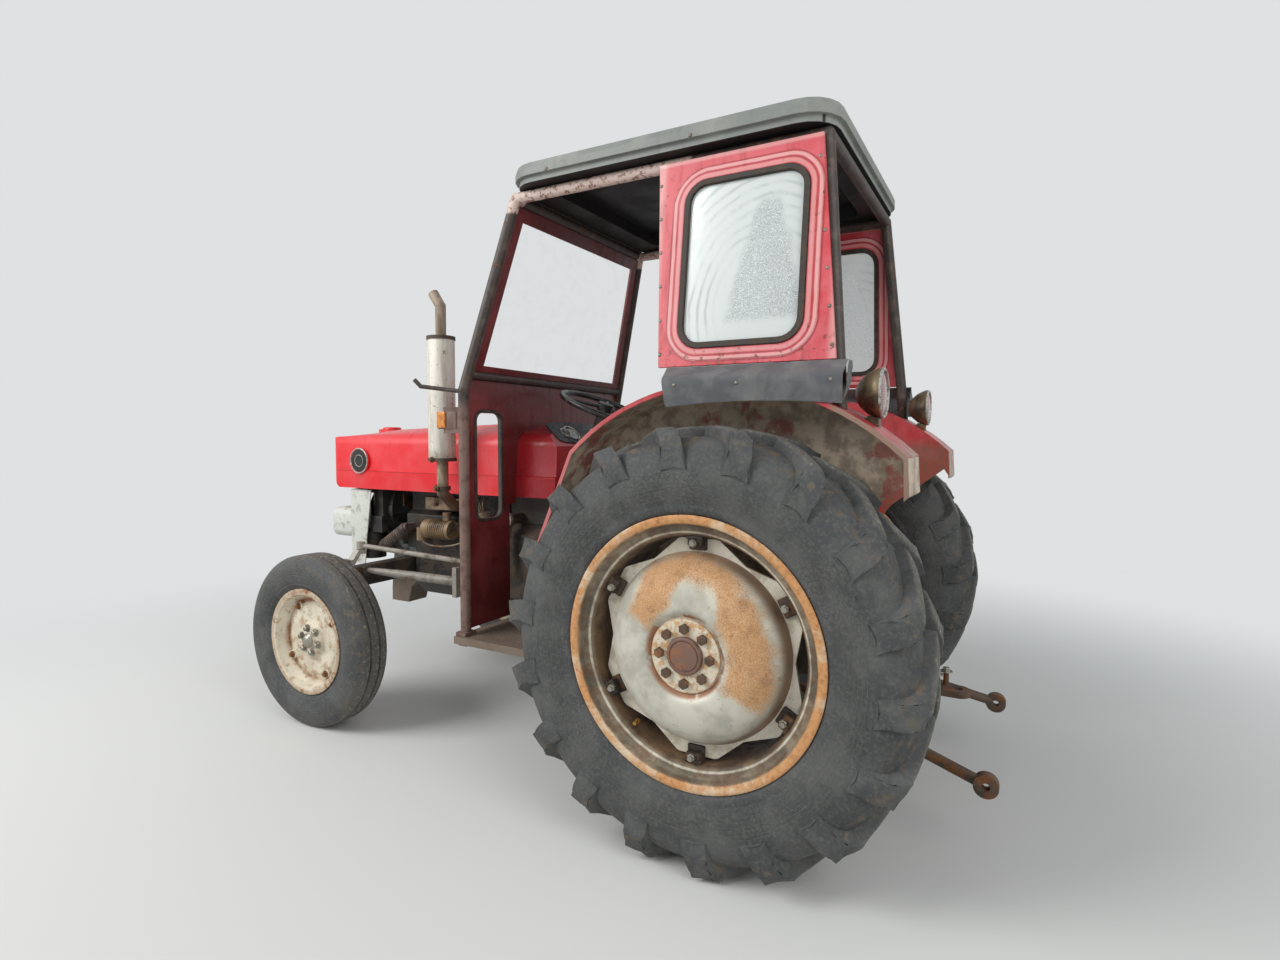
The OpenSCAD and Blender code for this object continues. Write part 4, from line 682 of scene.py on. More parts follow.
one_lug = lug()
for side, s in (("left", 1), ("right", -1)):
    centre = at(0, 705 * s, rear_axle_z)
    way = (0, s, 0)
    body = f"rear_wheel_{side}"
    rubber = tyre_rubber(f"rear_rubber_{side}", centre, 0.631, 0.52, 0.60)
    bm = turned(both_ways(rear_tyre_half), centre, way, 144)
    for half in (0, 1):
        for i in range(18):
            before = len(bm.verts)
            bm.from_mesh(one_lug)
            bm.verts.ensure_lookup_table()
            degrees = (i + half / 2) * 20 + 6
            turn = Matrix.Translation(centre) @ Matrix.Rotation(math.radians(degrees), 4, "Y")
            flip = Matrix.Diagonal((1, -s if half else s, 1, 1))
            bmesh.ops.transform(bm, verts=bm.verts[before:], matrix=turn @ flip)
    tyre = placed(f"rear_tyre_lugged_{side}", bm, rubber, body, 38)
    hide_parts(f"rear_tyre_{side}")

    rim_steel = Finish(f"rear_rim_steel_{side}", Specular_IOR_Level=0.5)
    radius = from_axle(rim_steel, centre)[0]
    blotch = rim_steel.patches(0.04, 0.47, 0.6, detail=8.0, rough=0.7, seed=3.0 + s)
    fine = rim_steel.patches(0.012, 0.48, 0.64, detail=6.0, seed=6.0)
    broad = rim_steel.patches(0.13, 0.42, 0.62, seed=2.0)
    flange = rim_steel.step(radius + 0.006 * rim_steel.grain(0.03, seed=1.0), 0.361, 0.367)
    ring = rim_steel.band(radius, 0.3315, 0.3335, 0.3365, 0.3395)
    # The rim's deep well is painted dark brown as shadow, with a brown tone that varies over it.
    well_shadow = 1 - rim_steel.step(radius, 0.3255, 0.331)
    paint = rim_steel.layer("5d5244", ("9b8b74", broad * 0.7), ("6b4a30", blotch * 0.5),
                            ("d9d0bd", ring * (0.9 - 0.35 * blotch) * (0.5 + 0.5 * broad)),
                            (rim_steel.layer("4a3a2b", ("70583f", broad)), well_shadow))
    rust = rim_steel.layer("cb935e", ("ab7340", fine * 0.6),
                           ("e0d2b6", rim_steel.patches(0.09, 0.47, 0.66, detail=7.0, seed=7.0) * 0.75),
                           ("8c5a34", rim_steel.patches(0.02, 0.6, 0.68, detail=7.0, seed=17.0) * 0.6))
    rim_steel.surface(Base_Color=rim_steel.layer(paint, (rust, flange * 0.96)),
                      Roughness=0.5 + 0.3 * blotch, Normal=rim_steel.relief(fine + blotch, 0.0006))
    bm = turned(both_ways(rear_rim_half), centre, way, 144)
    rim = placed(f"rear_rim_ring_{side}", bm, rim_steel, body)
    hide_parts(f"rear_rim_{side}")

    silver = Finish(f"dome_silver_{side}", Metallic=0.2)
    radius, dx, dz = from_axle(silver, centre)
    round_at = dz.maths("ARCTAN2", dz, 0 - dx) * (180 / math.pi)
    cloud = silver.patches(0.09, 0.4, 0.62, seed=4.0)
    wave = silver.grain(0.07, detail=3.0, seed=9.0) - 0.5
    speck = silver.grain(0.0035, detail=5.0, rough=0.75, seed=1.0) - 0.5
    fine = silver.patches(0.0035, 0.4, 0.66, detail=6.0, rough=0.7, seed=1.7)
    hollow = 1 - silver.step(abs(round_at - 80), 6.0, 40.0)
    inside = radius - (0.122 + 0.078 * hollow)
    outside = (0.252 + 0.026 * silver.step(round_at, 48.0, 70.0)
               - 0.07 * silver.step(round_at, 118.0, 146.0)) - radius
    start, end = (round_at + 36) * 0.0035, (152 - round_at) * 0.0035
    depth = inside.least(outside).least(start.least(end))
    arc = silver.step(depth + 0.07 * wave + 0.10 * speck, -0.010, 0.026)
    # A brown band round the dome's foot is partly rust and, where it deepens on the rear side, painted
    # shadow.
    foot = silver.step(radius, 0.250, 0.268) * (0.35 + 0.65 * silver.step(0 - dx, -0.02, 0.12))
    neck = silver.band(radius, 0.104, 0.107, 0.112, 0.124) * silver.step(wave + 0.9 * (0 - dz), -0.06, 0.02)
    spots = silver.patches(0.02, 0.62, 0.68, detail=8.0, seed=12.0)
    rust = silver.layer("d09d66", ("b07a44", fine),
                        ("9a6531", silver.patches(0.05, 0.48, 0.66, seed=21.0) * 0.6))
    paint = silver.layer("cbc8ba", ("a3a193", cloud * 0.7), (rust, arc * (0.72 + 0.28 * fine)),
                         ("8b5f3a", spots * 0.45), ("7a573b", foot * 0.8), ("93592f", neck * 0.85))
    silver.surface(Base_Color=paint, Roughness=0.44 + 0.35 * arc + 0.08 * cloud,
                   Normal=silver.relief(wave * 0.3 + speck * arc, 0.0006))
    placed(f"disc_dome_{side}", turned(dome_outline, centre, way, 128, closed=False), silver, body)

    pale = weathered(f"plate_cream_{side}", "d6cebd", "b1a692", "8e6038", film_from=0.5, rust_size=0.03,
                     rust_from=0.62, gloss=0.5)
    bm = bmesh.new()
    outer = bmesh.ops.create_circle(bm, cap_ends=False, segments=180, radius=1)["verts"]
    bmesh.ops.create_circle(bm, cap_ends=False, segments=180, radius=0.247)
    for v in outer:
        v.co *= lobed(abs((math.degrees(math.atan2(v.co.y, v.co.x)) + 360) % 60 - 30))
    bmesh.ops.bridge_loops(bm, edges=bm.edges[:])
    thick = bmesh.ops.extrude_face_region(bm, geom=bm.faces[:])
    bmesh.ops.translate(bm, vec=(0, 0, 0.010), verts=new_verts(thick))
    bmesh.ops.transform(bm, verts=bm.verts[:], matrix=Matrix.Rotation(-math.pi / 2, 4, "X"))
    bmesh.ops.translate(bm, verts=bm.verts[:], vec=centre + Vector((0, 0.053 * s - 0.005, 0)))
    placed(f"star_plate_{side}", bm, pale, body)

    clamp_iron = weathered(f"clamp_iron_{side}", "2c231c", "43362a", "6a4529", rust_from=0.56, gloss=0.66)
    bm = bmesh.new()
    for k in range(6):
        turn = Matrix.Translation(centre) @ Matrix.Rotation(math.radians(60 * k + 30), 4, "Y")
        for size, shift in (((0.030, 0.030, 0.044), (0.3095, 0.0745 * s, 0)),
                            ((0.044, 0.010, 0.054), (0.302, 0.062 * s, 0)),
                            ((0.012, 0.036, 0.052), (0.3185, 0.0745 * s, 0))):
            block(bm, turn @ Matrix.Translation(shift), size, 0.004)
    placed(f"rim_clamps_{side}", bm, clamp_iron, body)
    clamp_spots = ring_of(6, -30, 304, centre, 88.5, s)
    bolts(f"clamp_nuts_{side}", clamp_spots, 0.0115, 0.012, plated, body, washer=False)
    outward = Matrix.Rotation(-s * math.pi / 2, 4, "X")
    bm = bmesh.new()
    for spot, toward in clamp_spots:
        cone(bm, 16, 0.0082, 0.0076, 0.016, Matrix.Translation(spot + 0.013 * Vector(toward)) @ outward)
    placed(f"clamp_studs_{side}", bm, plated, body)

    hub_cream = Finish(f"hub_cream_{side}")
    radius = from_axle(hub_cream, centre)[0]
    blotch = hub_cream.patches(0.022, 0.46, 0.6, detail=6.0, rough=0.65, seed=14.0)
    chips = hub_cream.patches(0.012, 0.6, 0.68, detail=7.0, seed=3.0)
    paint = hub_cream.layer("d8ceb9", ("c08b45", blotch * 0.75), ("8c5b33", chips * 0.7),
                            ("a5764a", hub_cream.step(radius, 0.098, 0.104) * 0.5))
    hub_cream.surface(Base_Color=paint, Roughness=0.5 + 0.25 * blotch,
                      Normal=hub_cream.relief(blotch, 0.0006))
    placed(f"hub_disc_{side}", turned(hub_disc_outline, centre, way, 96, closed=False), hub_cream, body)
    hub_mauve = weathered(f"hub_mauve_{side}", "74584c", "5a4339", "8d5f44", rust_from=0.5, gloss=0.6)
    placed(f"hub_cap_{side}", turned(hub_cap_outline, centre, way, 64, closed=False), hub_mauve, body)
    hub_brown = weathered(f"hub_brown_{side}", "55402f", "3c2e25", "8d5c35", rust_from=0.5, gloss=0.55)
    placed(f"hub_{side}", turned(hub_outline, centre, way, 64, closed=False), hub_brown, body)
    bolts(f"hub_bolts_{side}", ring_of(8, 0, 76, centre, 144.6, s), 0.0150, 0.0120, hub_brown, body,
          washer=False)
    brass = Finish(f"valve_brass_{side}", Metallic=0.8)
    brass.dusted("b98d43", "74562f", brass.patches(0.006, 0.4, 0.65), 1.0, 0.35, 0.3)
    stem = [centre + Vector(bend) for bend in ((0.186, s * 0.012, -0.263), (0.184, s * 0.045, -0.254),
                                               (0.179, s * 0.090, -0.240))]
    tube(f"valve_stem_{side}", stem, 0.0042, clamp_iron, body)
    bm = bmesh.new()
    for sides, low, high, r in ((6, 0.084, 0.092, 0.0085), (20, 0.092, 0.107, 0.0062)):
        spot = centre + Vector((0.179, s * (low + high) / 2, -0.240))
        cone(bm, sides, r, r * 0.92, high - low, Matrix.Translation(spot) @ outward)
    placed(f"valve_tip_{side}", bm, brass, body)


# The bonnet is one pressed sheet in bright red paint, with a crease along its
# side, a red filler cap near the nose and a blank round badge on each flank.
def red_paint(name, fresh, faded, soil, faded_from=0.46, chip_from=0.62, coat=0.35, streak=0.5):
    """Old red enamel: faded clouds, fine dirt that runs down, chips to brown primer and a soft shine."""
    made = Finish(name, Coat_Weight=coat, Coat_Roughness=0.25)
    cloud = made.patches(0.22, faded_from, faded_from + 0.2, seed=3.3)
    runs = made.patches(0.03, 0.5, 0.72, stretch=(1, 1, 0.15), seed=1.1)
    chips = made.patches(0.022, chip_from, chip_from + 0.03, detail=8.0, rough=0.72, seed=7.7)
    dust = made.patches(0.008, 0.45, 0.75, detail=4.0, seed=2.5)
    made.base = made.layer(fresh, (faded, cloud * 0.8), (soil, runs * streak), ("9a7f70", dust * 0.10),
                           ("4a3328", chips * 0.85))
    made.rough = 0.34 + 0.18 * cloud + 0.2 * runs
    made.surface(Base_Color=made.base, Roughness=made.rough,
                 Normal=made.relief(made.grain(0.05, detail=2.0) + 0.5 * chips, 0.0009))
    return made


def ramp(value, start, run):
    """0 up to a start, and 1 from a run beyond it."""
    return min(max((value - start) / run, 0), 1)


def crowned(bm):
    """Presses the crown into the bonnet's and cowl's tops, and draws the nose forward over the lamps."""
    cuts_x = [*range(880, 2100, 60), 2112, 2130, 2150, 2175, 2190, 2204, 2215]
    cuts_y = (-195, -150, -100, -50, 0, 50, 100, 150, 195)
    for spot, across in ([(at(x_mm, 0, 0), (1, 0, 0)) for x_mm in cuts_x]
                         + [(at(0, y_mm, 0), (0, 1, 0)) for y_mm in cuts_y]):
        bmesh.ops.bisect_plane(bm, geom=bm.verts[:] + bm.edges[:] + bm.faces[:], dist=1e-5, plane_co=spot,
                               plane_no=across)
    for v in bm.verts:
        x_mm, y_mm, z_mm = v.co.x * 1000 + origin_ahead, v.co.y * 1000, v.co.z * 1000
        bow = max(0, 1 - (abs(y_mm) / 212) ** 2.2) * ramp(z_mm, 1150, 40)
        bow *= (1 - 0.72 * ramp(x_mm, 1990, 200)) * ramp(x_mm, 960, 160)
        droop = ramp(x_mm, 2170, 55) ** 2 * ramp(z_mm, 1170, 50)
        v.co += Vector((0.042 * ramp(x_mm, 2095, 55), 0, 0.031 * bow - 0.017 * droop))


bonnet_red = red_paint("bonnet_red", "e3131f", "e23a42", "a01a20", streak=0.18, chip_from=0.67, coat=0.22)
x, y, z = bonnet_red.axes()
# A thin dark red line along the side's crease is painted shadow.
crease_shadow = 1 - bonnet_red.step(abs(z - 1.0605), 0.0008, 0.0022)
bonnet_red.surface(Base_Color=bonnet_red.layer(bonnet_red.base, ("7c1014", crease_shadow * 0.75)))
dressed("bonnet", bonnet_red, 4, 24, crowned)
black_gloss = Finish("black_enamel", Coat_Weight=0.3, Coat_Roughness=0.2)
black_gloss.dusted("111214", "3a3733", black_gloss.patches(0.02, 0.45, 0.7), 0.5, 0.35, 0.3)
bright = Finish("bright_trim", Metallic=0.85)
bright.dusted("c3c1ba", "8b8579", bright.patches(0.01, 0.45, 0.65), 1.0, 0.28, 0.3)
badge_disc = [(269.3, 0), (269.8, 30), (269.4, 52), (268.6, 57), (263, 57), (263, 0)]
badge_ring = [(269, 55.5), (271.6, 57), (272.2, 59.5), (271.2, 62), (266, 62.6), (264, 55.5)]
badge_line = [(269.6, 26), (270.5, 27), (270.5, 29), (269.6, 30)]
for side, s in (("right", -1), ("left", 1)):
    badge_at, way = at(2027, 0, 1110), (0, s, 0)
    placed(f"badge_disc_{side}", turned(badge_disc, badge_at, way, 64, closed=False), black_gloss, "bonnet")
    placed(f"badge_ring_{side}", turned(badge_ring, badge_at, way, 64), bright, "bonnet")
    placed(f"badge_line_{side}", turned(badge_line, badge_at, way, 48), bright, "bonnet")
cap_outline = [(1276.4, 0), (1276.4, 30), (1275, 40), (1271, 45), (1265, 46.6), (1246, 46.6), (1240, 40),
               (1240, 0)]
bm = turned(cap_outline, at(2100, 0, 0), (0, 0, 1), 48, closed=False)
placed("filler_cap", bm, bonnet_red, "bonnet", 30)


# The grille's side sheets and bars and the lamp pods are pressed steel in a pale
# grey-white paint, clouded by dirt and spotted with rust.
pale_paint = weathered("grille_pale", "d3d5cc", "9d9a8d", "81603f", film_from=0.5, film_size=0.06,
                       rust_size=0.02, rust_from=0.63, gloss=0.45)
dressed("grille", pale_paint, 1)
dressed("headlamps", pale_paint, 2)
lens_glass = Finish("lamp_lens", Coat_Weight=0.8, Coat_Roughness=0.05, Metallic=0.4)
x, y, z = lens_glass.axes()
flutes = (y * 700).wave() * 0.5 + (z * 260).wave() * 0.3
lens_glass.dusted("c9d0d1", "8f8b80", lens_glass.patches(0.02, 0.42, 0.7), 0.6, 0.1, 0.3,
                  Normal=lens_glass.relief(flutes, 0.0008))
lens_outline = [(2259, 0), (2258.5, 18), (2256, 36), (2251, 50), (2244, 57.5), (2238, 57.5), (2238, 0)]
ring_outline = [(2256, 57.5), (2262, 58.5), (2264.5, 62), (2263, 67), (2258.4, 69), (2256, 68)]
for side, s in (("right", -1), ("left", 1)):
    lamp_at, way = at(0, 168 * s, 798), (1, 0, 0)
    placed(f"headlamp_lens_{side}", turned(lens_outline, lamp_at, way, 48, closed=False), lens_glass)
    placed(f"headlamp_ring_{side}", turned(ring_outline, lamp_at, way, 56), bright)


# The cowl over the tank is red sheet, darker than the bonnet, with a sloping
# dark blue dash that holds three round dials, and the column comes up through it.
cowl_red = red_paint("cowl_red", "a81421", "b52c33", "5c1418", streak=0.4, chip_from=0.63)
dressed("dash_cowl", cowl_red, 4, 24, crowned)
dash_blue = Finish("dash_blue", Roughness=0.5)
dash_blue.dusted("171c28", "4a4740", dash_blue.patches(0.03, 0.42, 0.7), 0.5, 0.4, 0.3)
dash_plane = Matrix.Translation(at(922, 0, 1245)) @ Matrix.Rotation(-math.atan2(110, 120), 4, "Y")
bm = bmesh.new()
bmesh.ops.create_cube(bm, size=1)
rounded(bm, [e for e in bm.edges if abs(e.verts[0].co.z - e.verts[1].co.z) > 0.5], 0.18, 4)
bmesh.ops.transform(bm, verts=bm.verts[:], matrix=dash_plane @ Matrix.Translation((0.0, 0, 0.001))
                    @ Matrix.Diagonal((0.128, 0.400, 0.006, 1)))
placed("dash_board", bm, dash_blue, smooth=35)
dial_face = Finish("dial_face", Coat_Weight=0.9, Coat_Roughness=0.04)
marks = dial_face.patches(0.012, 0.58, 0.62, seed=3.0)
dial_face.surface(Base_Color=dial_face.layer("101112", ("b9b6a8", marks * 0.5)),
                  Roughness=0.3 + 0.3 * dial_face.patches(0.02, 0.45, 0.7))
for i, (y_mm, r) in enumerate(((-115, 26), (70, 40), (115, 26))):
    dial_place = dash_plane @ Matrix.Translation((-0.005, y_mm / 1000, 0))
    dial = [(6, 0), (6, r - 3), (2, r - 3), (2, 0)]
    bezel = [(5, r - 4), (9, r - 3), (10, r), (8, r + 3), (2, r + 3), (2, r - 4)]
    for part, outline, finish in (("dial", dial, dial_face), ("bezel", bezel, bright)):
        bm = turned(outline, Vector(), (0, 0, 1), 40, closed=part == "bezel")
        bmesh.ops.transform(bm, verts=bm.verts[:], matrix=dial_place)
        placed(f"dash_{part}_{i + 1}", bm, finish)
column_iron = weathered("column_iron", "35302c", "4c4238", "66472e", film_from=0.46, gloss=0.55)
dressed("steering_column", column_iron, 2)
wheel_black = Finish("wheel_black", Coat_Weight=0.2, Coat_Roughness=0.3)
wheel_black.dusted("17181a", "55514b", wheel_black.patches(0.03, 0.48, 0.66), 0.5, 0.35, 0.3,
                   Normal=wheel_black.relief(wheel_black.grain(0.004), 0.0003))
dressed("steering_wheel", wheel_black, 1, 40)


# The rear fenders are shells of red sheet, caked with earth on the side that
# faces the tyre, and bleached pink along the front edge of the bend.
fender_red = red_paint("fender_red", "b51a28", "c04a4c", "5a2a24", faded_from=0.44, streak=0.45,
                       chip_from=0.61, coat=0.2)
x, y, z = fender_red.axes()
radius, dx, dz = from_axle(fender_red, at(0, 0, rear_axle_z))
wide = abs(y)
outer_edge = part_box("fenders")[1].y
under = (1 - fender_red.step(radius, 0.7582, 0.7592)) * fender_red.step(wide, 0.4345, 0.436)
under = under + fender_red.band(wide, 0.4345, 0.4352, 0.4352, 0.436)
under = under * (1 - fender_red.step(wide, outer_edge - 0.004, outer_edge - 0.002))
caked = fender_red.patches(0.05, 0.38, 0.6, seed=5.5)
red_left = fender_red.patches(0.12, 0.54, 0.64, seed=8.0)
earth = fender_red.layer("9a8a79", ("cbbaa5", caked), ("97413c", red_left * 0.75))
front_edge = fender_red.step(dx, 0.30, 0.52) * fender_red.step(wide, 0.60, 0.63)
low_band = (1 - fender_red.step(z, 1.18, 1.24)) * (1 - fender_red.step(dx, -0.30, -0.26))
bare_edge = fender_red.step(y, outer_edge - 0.012, outer_edge - 0.006) \
    * (1 - fender_red.step(x, -1.10, -1.07))
colour = fender_red.layer(fender_red.base, ("cf8a86", front_edge * 0.55), ("7d5b48", low_band * 0.7),
                          ("8b7766", bare_edge * 0.85), (earth, under))
fender_red.surface(Base_Color=colour, Roughness=fender_red.rough + 0.4 * under)
dressed("fenders", fender_red, 1.5)


# The cab is a welded tube frame in worn dark paint, with a reflector's plate and
# a mirror's stay on the left front post. Its side rails are pale pink, partly flaking
# paint and partly painted sunlight.
frame_dark = weathered("frame_dark", "3a302b", "564941", "6c4a33", film_size=0.05, film_from=0.5, gloss=0.5)
x, y, z = frame_dark.axes()
side_rail = frame_dark.step(z, 2.045, 2.055) * frame_dark.step(abs(y), 0.43, 0.44) \
    * frame_dark.step(x, -0.60, -0.58)
front_foot = (1 - frame_dark.step(z, 1.30, 1.38)) * frame_dark.step(x, 0.2, 0.25)
flaking = frame_dark.patches(0.016, 0.5, 0.62, detail=7.0, seed=15.0)
mauve = frame_dark.layer("7a6157", ("62493f", frame_dark.patches(0.05, 0.45, 0.62, seed=16.0)))
# The rails' pale pink is partly flaking paint and partly painted sunlight.
pink_paint_and_light = frame_dark.layer("dcc4b8", ("8d6a5c", flaking))
worn = frame_dark.layer(frame_dark.base, (pink_paint_and_light, side_rail * 0.92), (mauve, front_foot))
frame_dark.surface(Base_Color=worn)
dressed("cab_frame", frame_dark, 1, 40)
amber = Finish("reflector_orange", Coat_Weight=0.6, Coat_Roughness=0.1)
x, y, z = amber.axes()
amber.surface(Base_Color=amber.layer("e08a1c", ("b9651c", amber.patches(0.02, 0.45, 0.65))),
              Roughness=0.25 + 0.3 * amber.patches(0.01, 0.5, 0.7),
              Normal=amber.relief((z * 1200).wave() * (x * 1200).wave(), 0.0006))
for name, finish, size, spot in (
        ("reflector_plate", frame_dark, (0.094, 0.003, 0.066), at(1156, 560.2, 1290)),
        ("side_reflector", amber, (0.040, 0.008, 0.062), at(1181, 565.2, 1292))):
    bm = bmesh.new()
    block(bm, Matrix.Translation(spot), size, 0.0012)
    placed(name, bm, finish)


# Each side panel is one pressed red sheet outside the posts, with a raised step
# round its window, held by small screws. The pale pink bands on the steps are partly
# faded paint and partly painted highlight, and the thin dark red lines beside them
# are painted shadow.
lean = math.atan2(90, 704)
panel_foot_z, window_x, window_up = 1446, at(-34, 0, 0).x, 318
cab_red = red_paint("cab_red", "c62a36", "d4626a", "7a3030", faded_from=0.38, streak=0.4, chip_from=0.63,
                    coat=0.12)
x, y, z = cab_red.axes()
px = x - window_x
pz = (z - (panel_foot_z + window_up * math.cos(lean)) / 1000) / math.cos(lean)
qx, qz = (abs(px) - 0.125).most(0), (abs(pz) - 0.192).most(0)
from_window = (qx * qx + qz * qz) ** 0.5 - 0.058
wander = 0.006 * (cab_red.grain(0.06, seed=2.0) - 0.5)
# Pale bands on the step and lip are partly faded paint and partly painted highlight; the thin dark red
# lines are painted shadow.
bead_fade_and_highlight = 1 - cab_red.step(abs(from_window + wander - 0.0475), 0.004, 0.0075)
lip = 1 - cab_red.step(abs(from_window + wander - 0.0265), 0.004, 0.0085)
step_shadow_lines = 2 - cab_red.step(abs(from_window - 0.0372), 0.0012, 0.0034) \
    - cab_red.step(abs(from_window - 0.0565), 0.0012, 0.0036)
rims = cab_red.step(abs(px), 0.262, 0.285) + cab_red.step(abs(pz), 0.325, 0.335)
low_rust = cab_red.patches(0.018, 0.57, 0.63, detail=8.0, seed=13.0) * (1 - cab_red.step(pz, -0.30, -0.22))
paint = cab_red.layer(cab_red.base, ("e3b0ab", bead_fade_and_highlight * 0.72), ("dda09c", lip * 0.6), ("8e1f28", step_shadow_lines * 0.7),
                      ("e2b4ae", rims * 0.5), ("6b3a26", low_rust * 0.8))
cab_red.surface(Base_Color=paint, Roughness=cab_red.rough + 0.1 * bead_fade_and_highlight)
dressed("side_panels", cab_red, 2.5, 26)
screw_steel = weathered("screw_steel", "8b8478", "5c5348", "7b5434", gloss=0.45, metal=0.5)


def screws(name, places, radius):
    """Domed screw heads, each placed and flattened by a matrix."""
    bm = bmesh.new()
    for place in places:
        bmesh.ops.create_uvsphere(bm, u_segments=10, v_segments=6, radius=radius, matrix=place)
    placed(name, bm, screw_steel, smooth=60)


def on_panel(across, up, s):
    """Where a screw sits on a side panel's outer face, from millimetres along and up the sheet."""
    foot_y = 560 - 44 * math.tan(lean) + 32.3 / math.cos(lean)
    spot = at(-20 + across, s * (foot_y - up * math.sin(lean)), panel_foot_z + up * math.cos(lean))
    return facing(spot, (0, s * math.cos(lean), math.sin(lean))) @ Matrix.Diagonal((1, 1, 0.45, 1))


screws("panel_screws", [on_panel(across + slant * up, up, s) for s in (-1, 1) for up in range(40, 600, 110)
                        for across, slant in ((-300, 0.11), (240, 0.06))], 0.006)


# Brown-black rubber holds the windows, hardened and cracked by the weather, and
# the panes are clouded by a wiped film of dirt with a clearer patch in it.
seal_rubber = Finish("seal_rubber", Roughness=0.75)
seal_rubber.dusted("2a231e", "54473b", seal_rubber.patches(0.03, 0.42, 0.64), 0.7, 0.6, 0.25,
                   Normal=seal_rubber.relief(seal_rubber.grain(0.006), 0.0008))
dressed("window_seals", seal_rubber, 2.5, 30)
pane = Finish("clouded_glass", Coat_Weight=0.6, Coat_Roughness=0.08, Specular_IOR_Level=0.6)
x, y, z = pane.axes()
px, pz = x - window_x, z - 1.761
side_pane = pane.step(abs(y), 0.45, 0.46) * (1 - pane.step(x, 0.0, 0.05))
wx, wz = px + 0.075, (pz + 0.15) * 0.8
reach = (wx * wx + wz * wz) ** 0.5 + 0.03 * pane.grain(0.16, seed=1.0)
stroke = pane.step((reach * 230).wave(), 0.0, 0.95) * pane.step(reach, 0.15, 0.19) \
    * pane.patches(0.12, 0.34, 0.62, seed=2.0)
speck = pane.patches(0.003, 0.40, 0.66, detail=4.0, rough=0.7, seed=4.0)
ragged = 0.05 * (pane.grain(0.07, seed=9.0) - 0.5)
clear = pane.step(0.045 + (0.16 - pz) * 0.26 + ragged - abs(wx), -0.004, 0.024) \
    * pane.step(pz, -0.20, -0.17) * (1 - pane.step(pz + ragged, 0.15, 0.19)) * side_pane
film = pane.layer("d3d9d6", ("adb6b4", stroke * 0.75),
                  (pane.layer("a4adac", ("e6ebe9", speck)), clear * 0.85))
screen = pane.patches(0.05, 0.45, 0.7, seed=6.0)
near = 0.50 + 0.44 * pane.step(y, -0.1, 0.1)
cover = side_pane * near * (1 - 0.18 * clear * (1 - speck)) + (1 - side_pane) * (0.02 + 0.025 * screen)
pane.surface(Base_Color=film, Alpha=cover, Roughness=0.2 + 0.25 * stroke)
dressed("cab_glass", pane, 0)


# The front wall is red sheet, painted dark red as the shadow it stands in, with a small
# window on each side of the cowl, and a surround for the wide screen, sealed by rubber
# along the rail and header.
wall_red_in_shadow = red_paint("wall_red_in_shadow", "5e1519", "7a2a2c", "35181a", faded_from=0.45, chip_from=0.6, coat=0.1)
dressed("front_panels", wall_red_in_shadow, 1.5)
for name, x_mm, z_mm, y_mm, r in (("waist_rubber", 1070, 1450, 531, 0.0042),
                                  ("header_rubber", 870, 2123.1, 466, 0.0039)):
    tube(name, [at(x_mm, y_mm * share, z_mm) for share in (-1, -0.5, 0, 0.5, 1)], r, seal_rubber)


# The roof is a moulded grey shell with a rolled rim. The underside along its rim
# and the roof's inside are painted near black as shadow.
roof_grey = Finish("roof_grey", Specular_IOR_Level=0.4)
x, y, z = roof_grey.axes()
cloud = roof_grey.patches(0.2, 0.4, 0.62, seed=2.0)
lichen = roof_grey.patches(0.02, 0.58, 0.66, detail=6.0, seed=6.0)
runs = roof_grey.patches(0.03, 0.5, 0.7, stretch=(1, 1, 0.2), seed=3.0)
low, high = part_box("cab_roof")
# The rim's underside and the roof's inside are painted near black, as shadow.
rim_underside_shadow = 1 - roof_grey.step(z, low.z + 0.0015, low.z + 0.0025)
low_sheet = 1 - roof_grey.step(z, low.z + 0.056, low.z + 0.060)
inside_shadow = low_sheet * (1 - roof_grey.step(abs(y), 0.500, 0.504)) \
    * roof_grey.band(x, low.x + 0.04, low.x + 0.044, high.x - 0.044, high.x - 0.04)
grey = roof_grey.layer("80837f", ("94968f", cloud), ("6b6d69", runs * 0.3), ("7c7d75", lichen * 0.3),
                       ("1b1a19", rim_underside_shadow), ("171616", inside_shadow))
roof_grey.surface(Base_Color=grey, Roughness=0.5 + 0.2 * cloud,
                  Normal=roof_grey.relief(roof_grey.grain(0.03), 0.001))
dressed("cab_roof", roof_grey, 3, 24)
flat_sideways = Matrix.Diagonal((1, 0.5, 1, 1))
screws("roof_screws", [Matrix.Translation(at(x_mm, 544.6 * s, 2156)) @ flat_sideways
                       for s in (-1, 1) for x_mm in (140, 690)], 0.007)


# Canvas aprons hang from the side panels down over the fenders' edges. They are
# dark grey coated cloth, fixed by screws along the fold, with a flap at the rear.
canvas = Finish("apron_canvas", Roughness=0.7, Sheen_Weight=0.15)
x, y, z = canvas.axes()
worn = canvas.patches(0.06, 0.44, 0.66, seed=2.0)
# The folds are raised in relief and also painted paler where they rise, as a highlight.
crease = canvas.patches(0.07, 0.44, 0.64, detail=2.0, stretch=(0.8, 1, 0.5), seed=5.0)
weave = (x * 5200).wave() * (z * 5200).wave()
canvas.surface(Base_Color=canvas.layer("55575a", ("737474", worn * 0.8), ("8d8a83", crease * 0.25)),
               Roughness=0.6 + 0.2 * worn,
               Normal=canvas.relief(crease, 0.003, Normal=canvas.relief(weave, 0.0002)))
profile = [(588.5, 1443), (600, 1434), (613, 1424), (626, 1415), (638, 1407), (645, 1400), (647.5, 1388),
           (647.8, 1374), (647.6, 1360), (647.0, 1345), (646.4, 1334), (646.6, 1328), (647.0, 1324),
           (646.8, 1322), (646.6, 1321)]
columns, rows, cloth_thickness = 60, 14, 0.0018
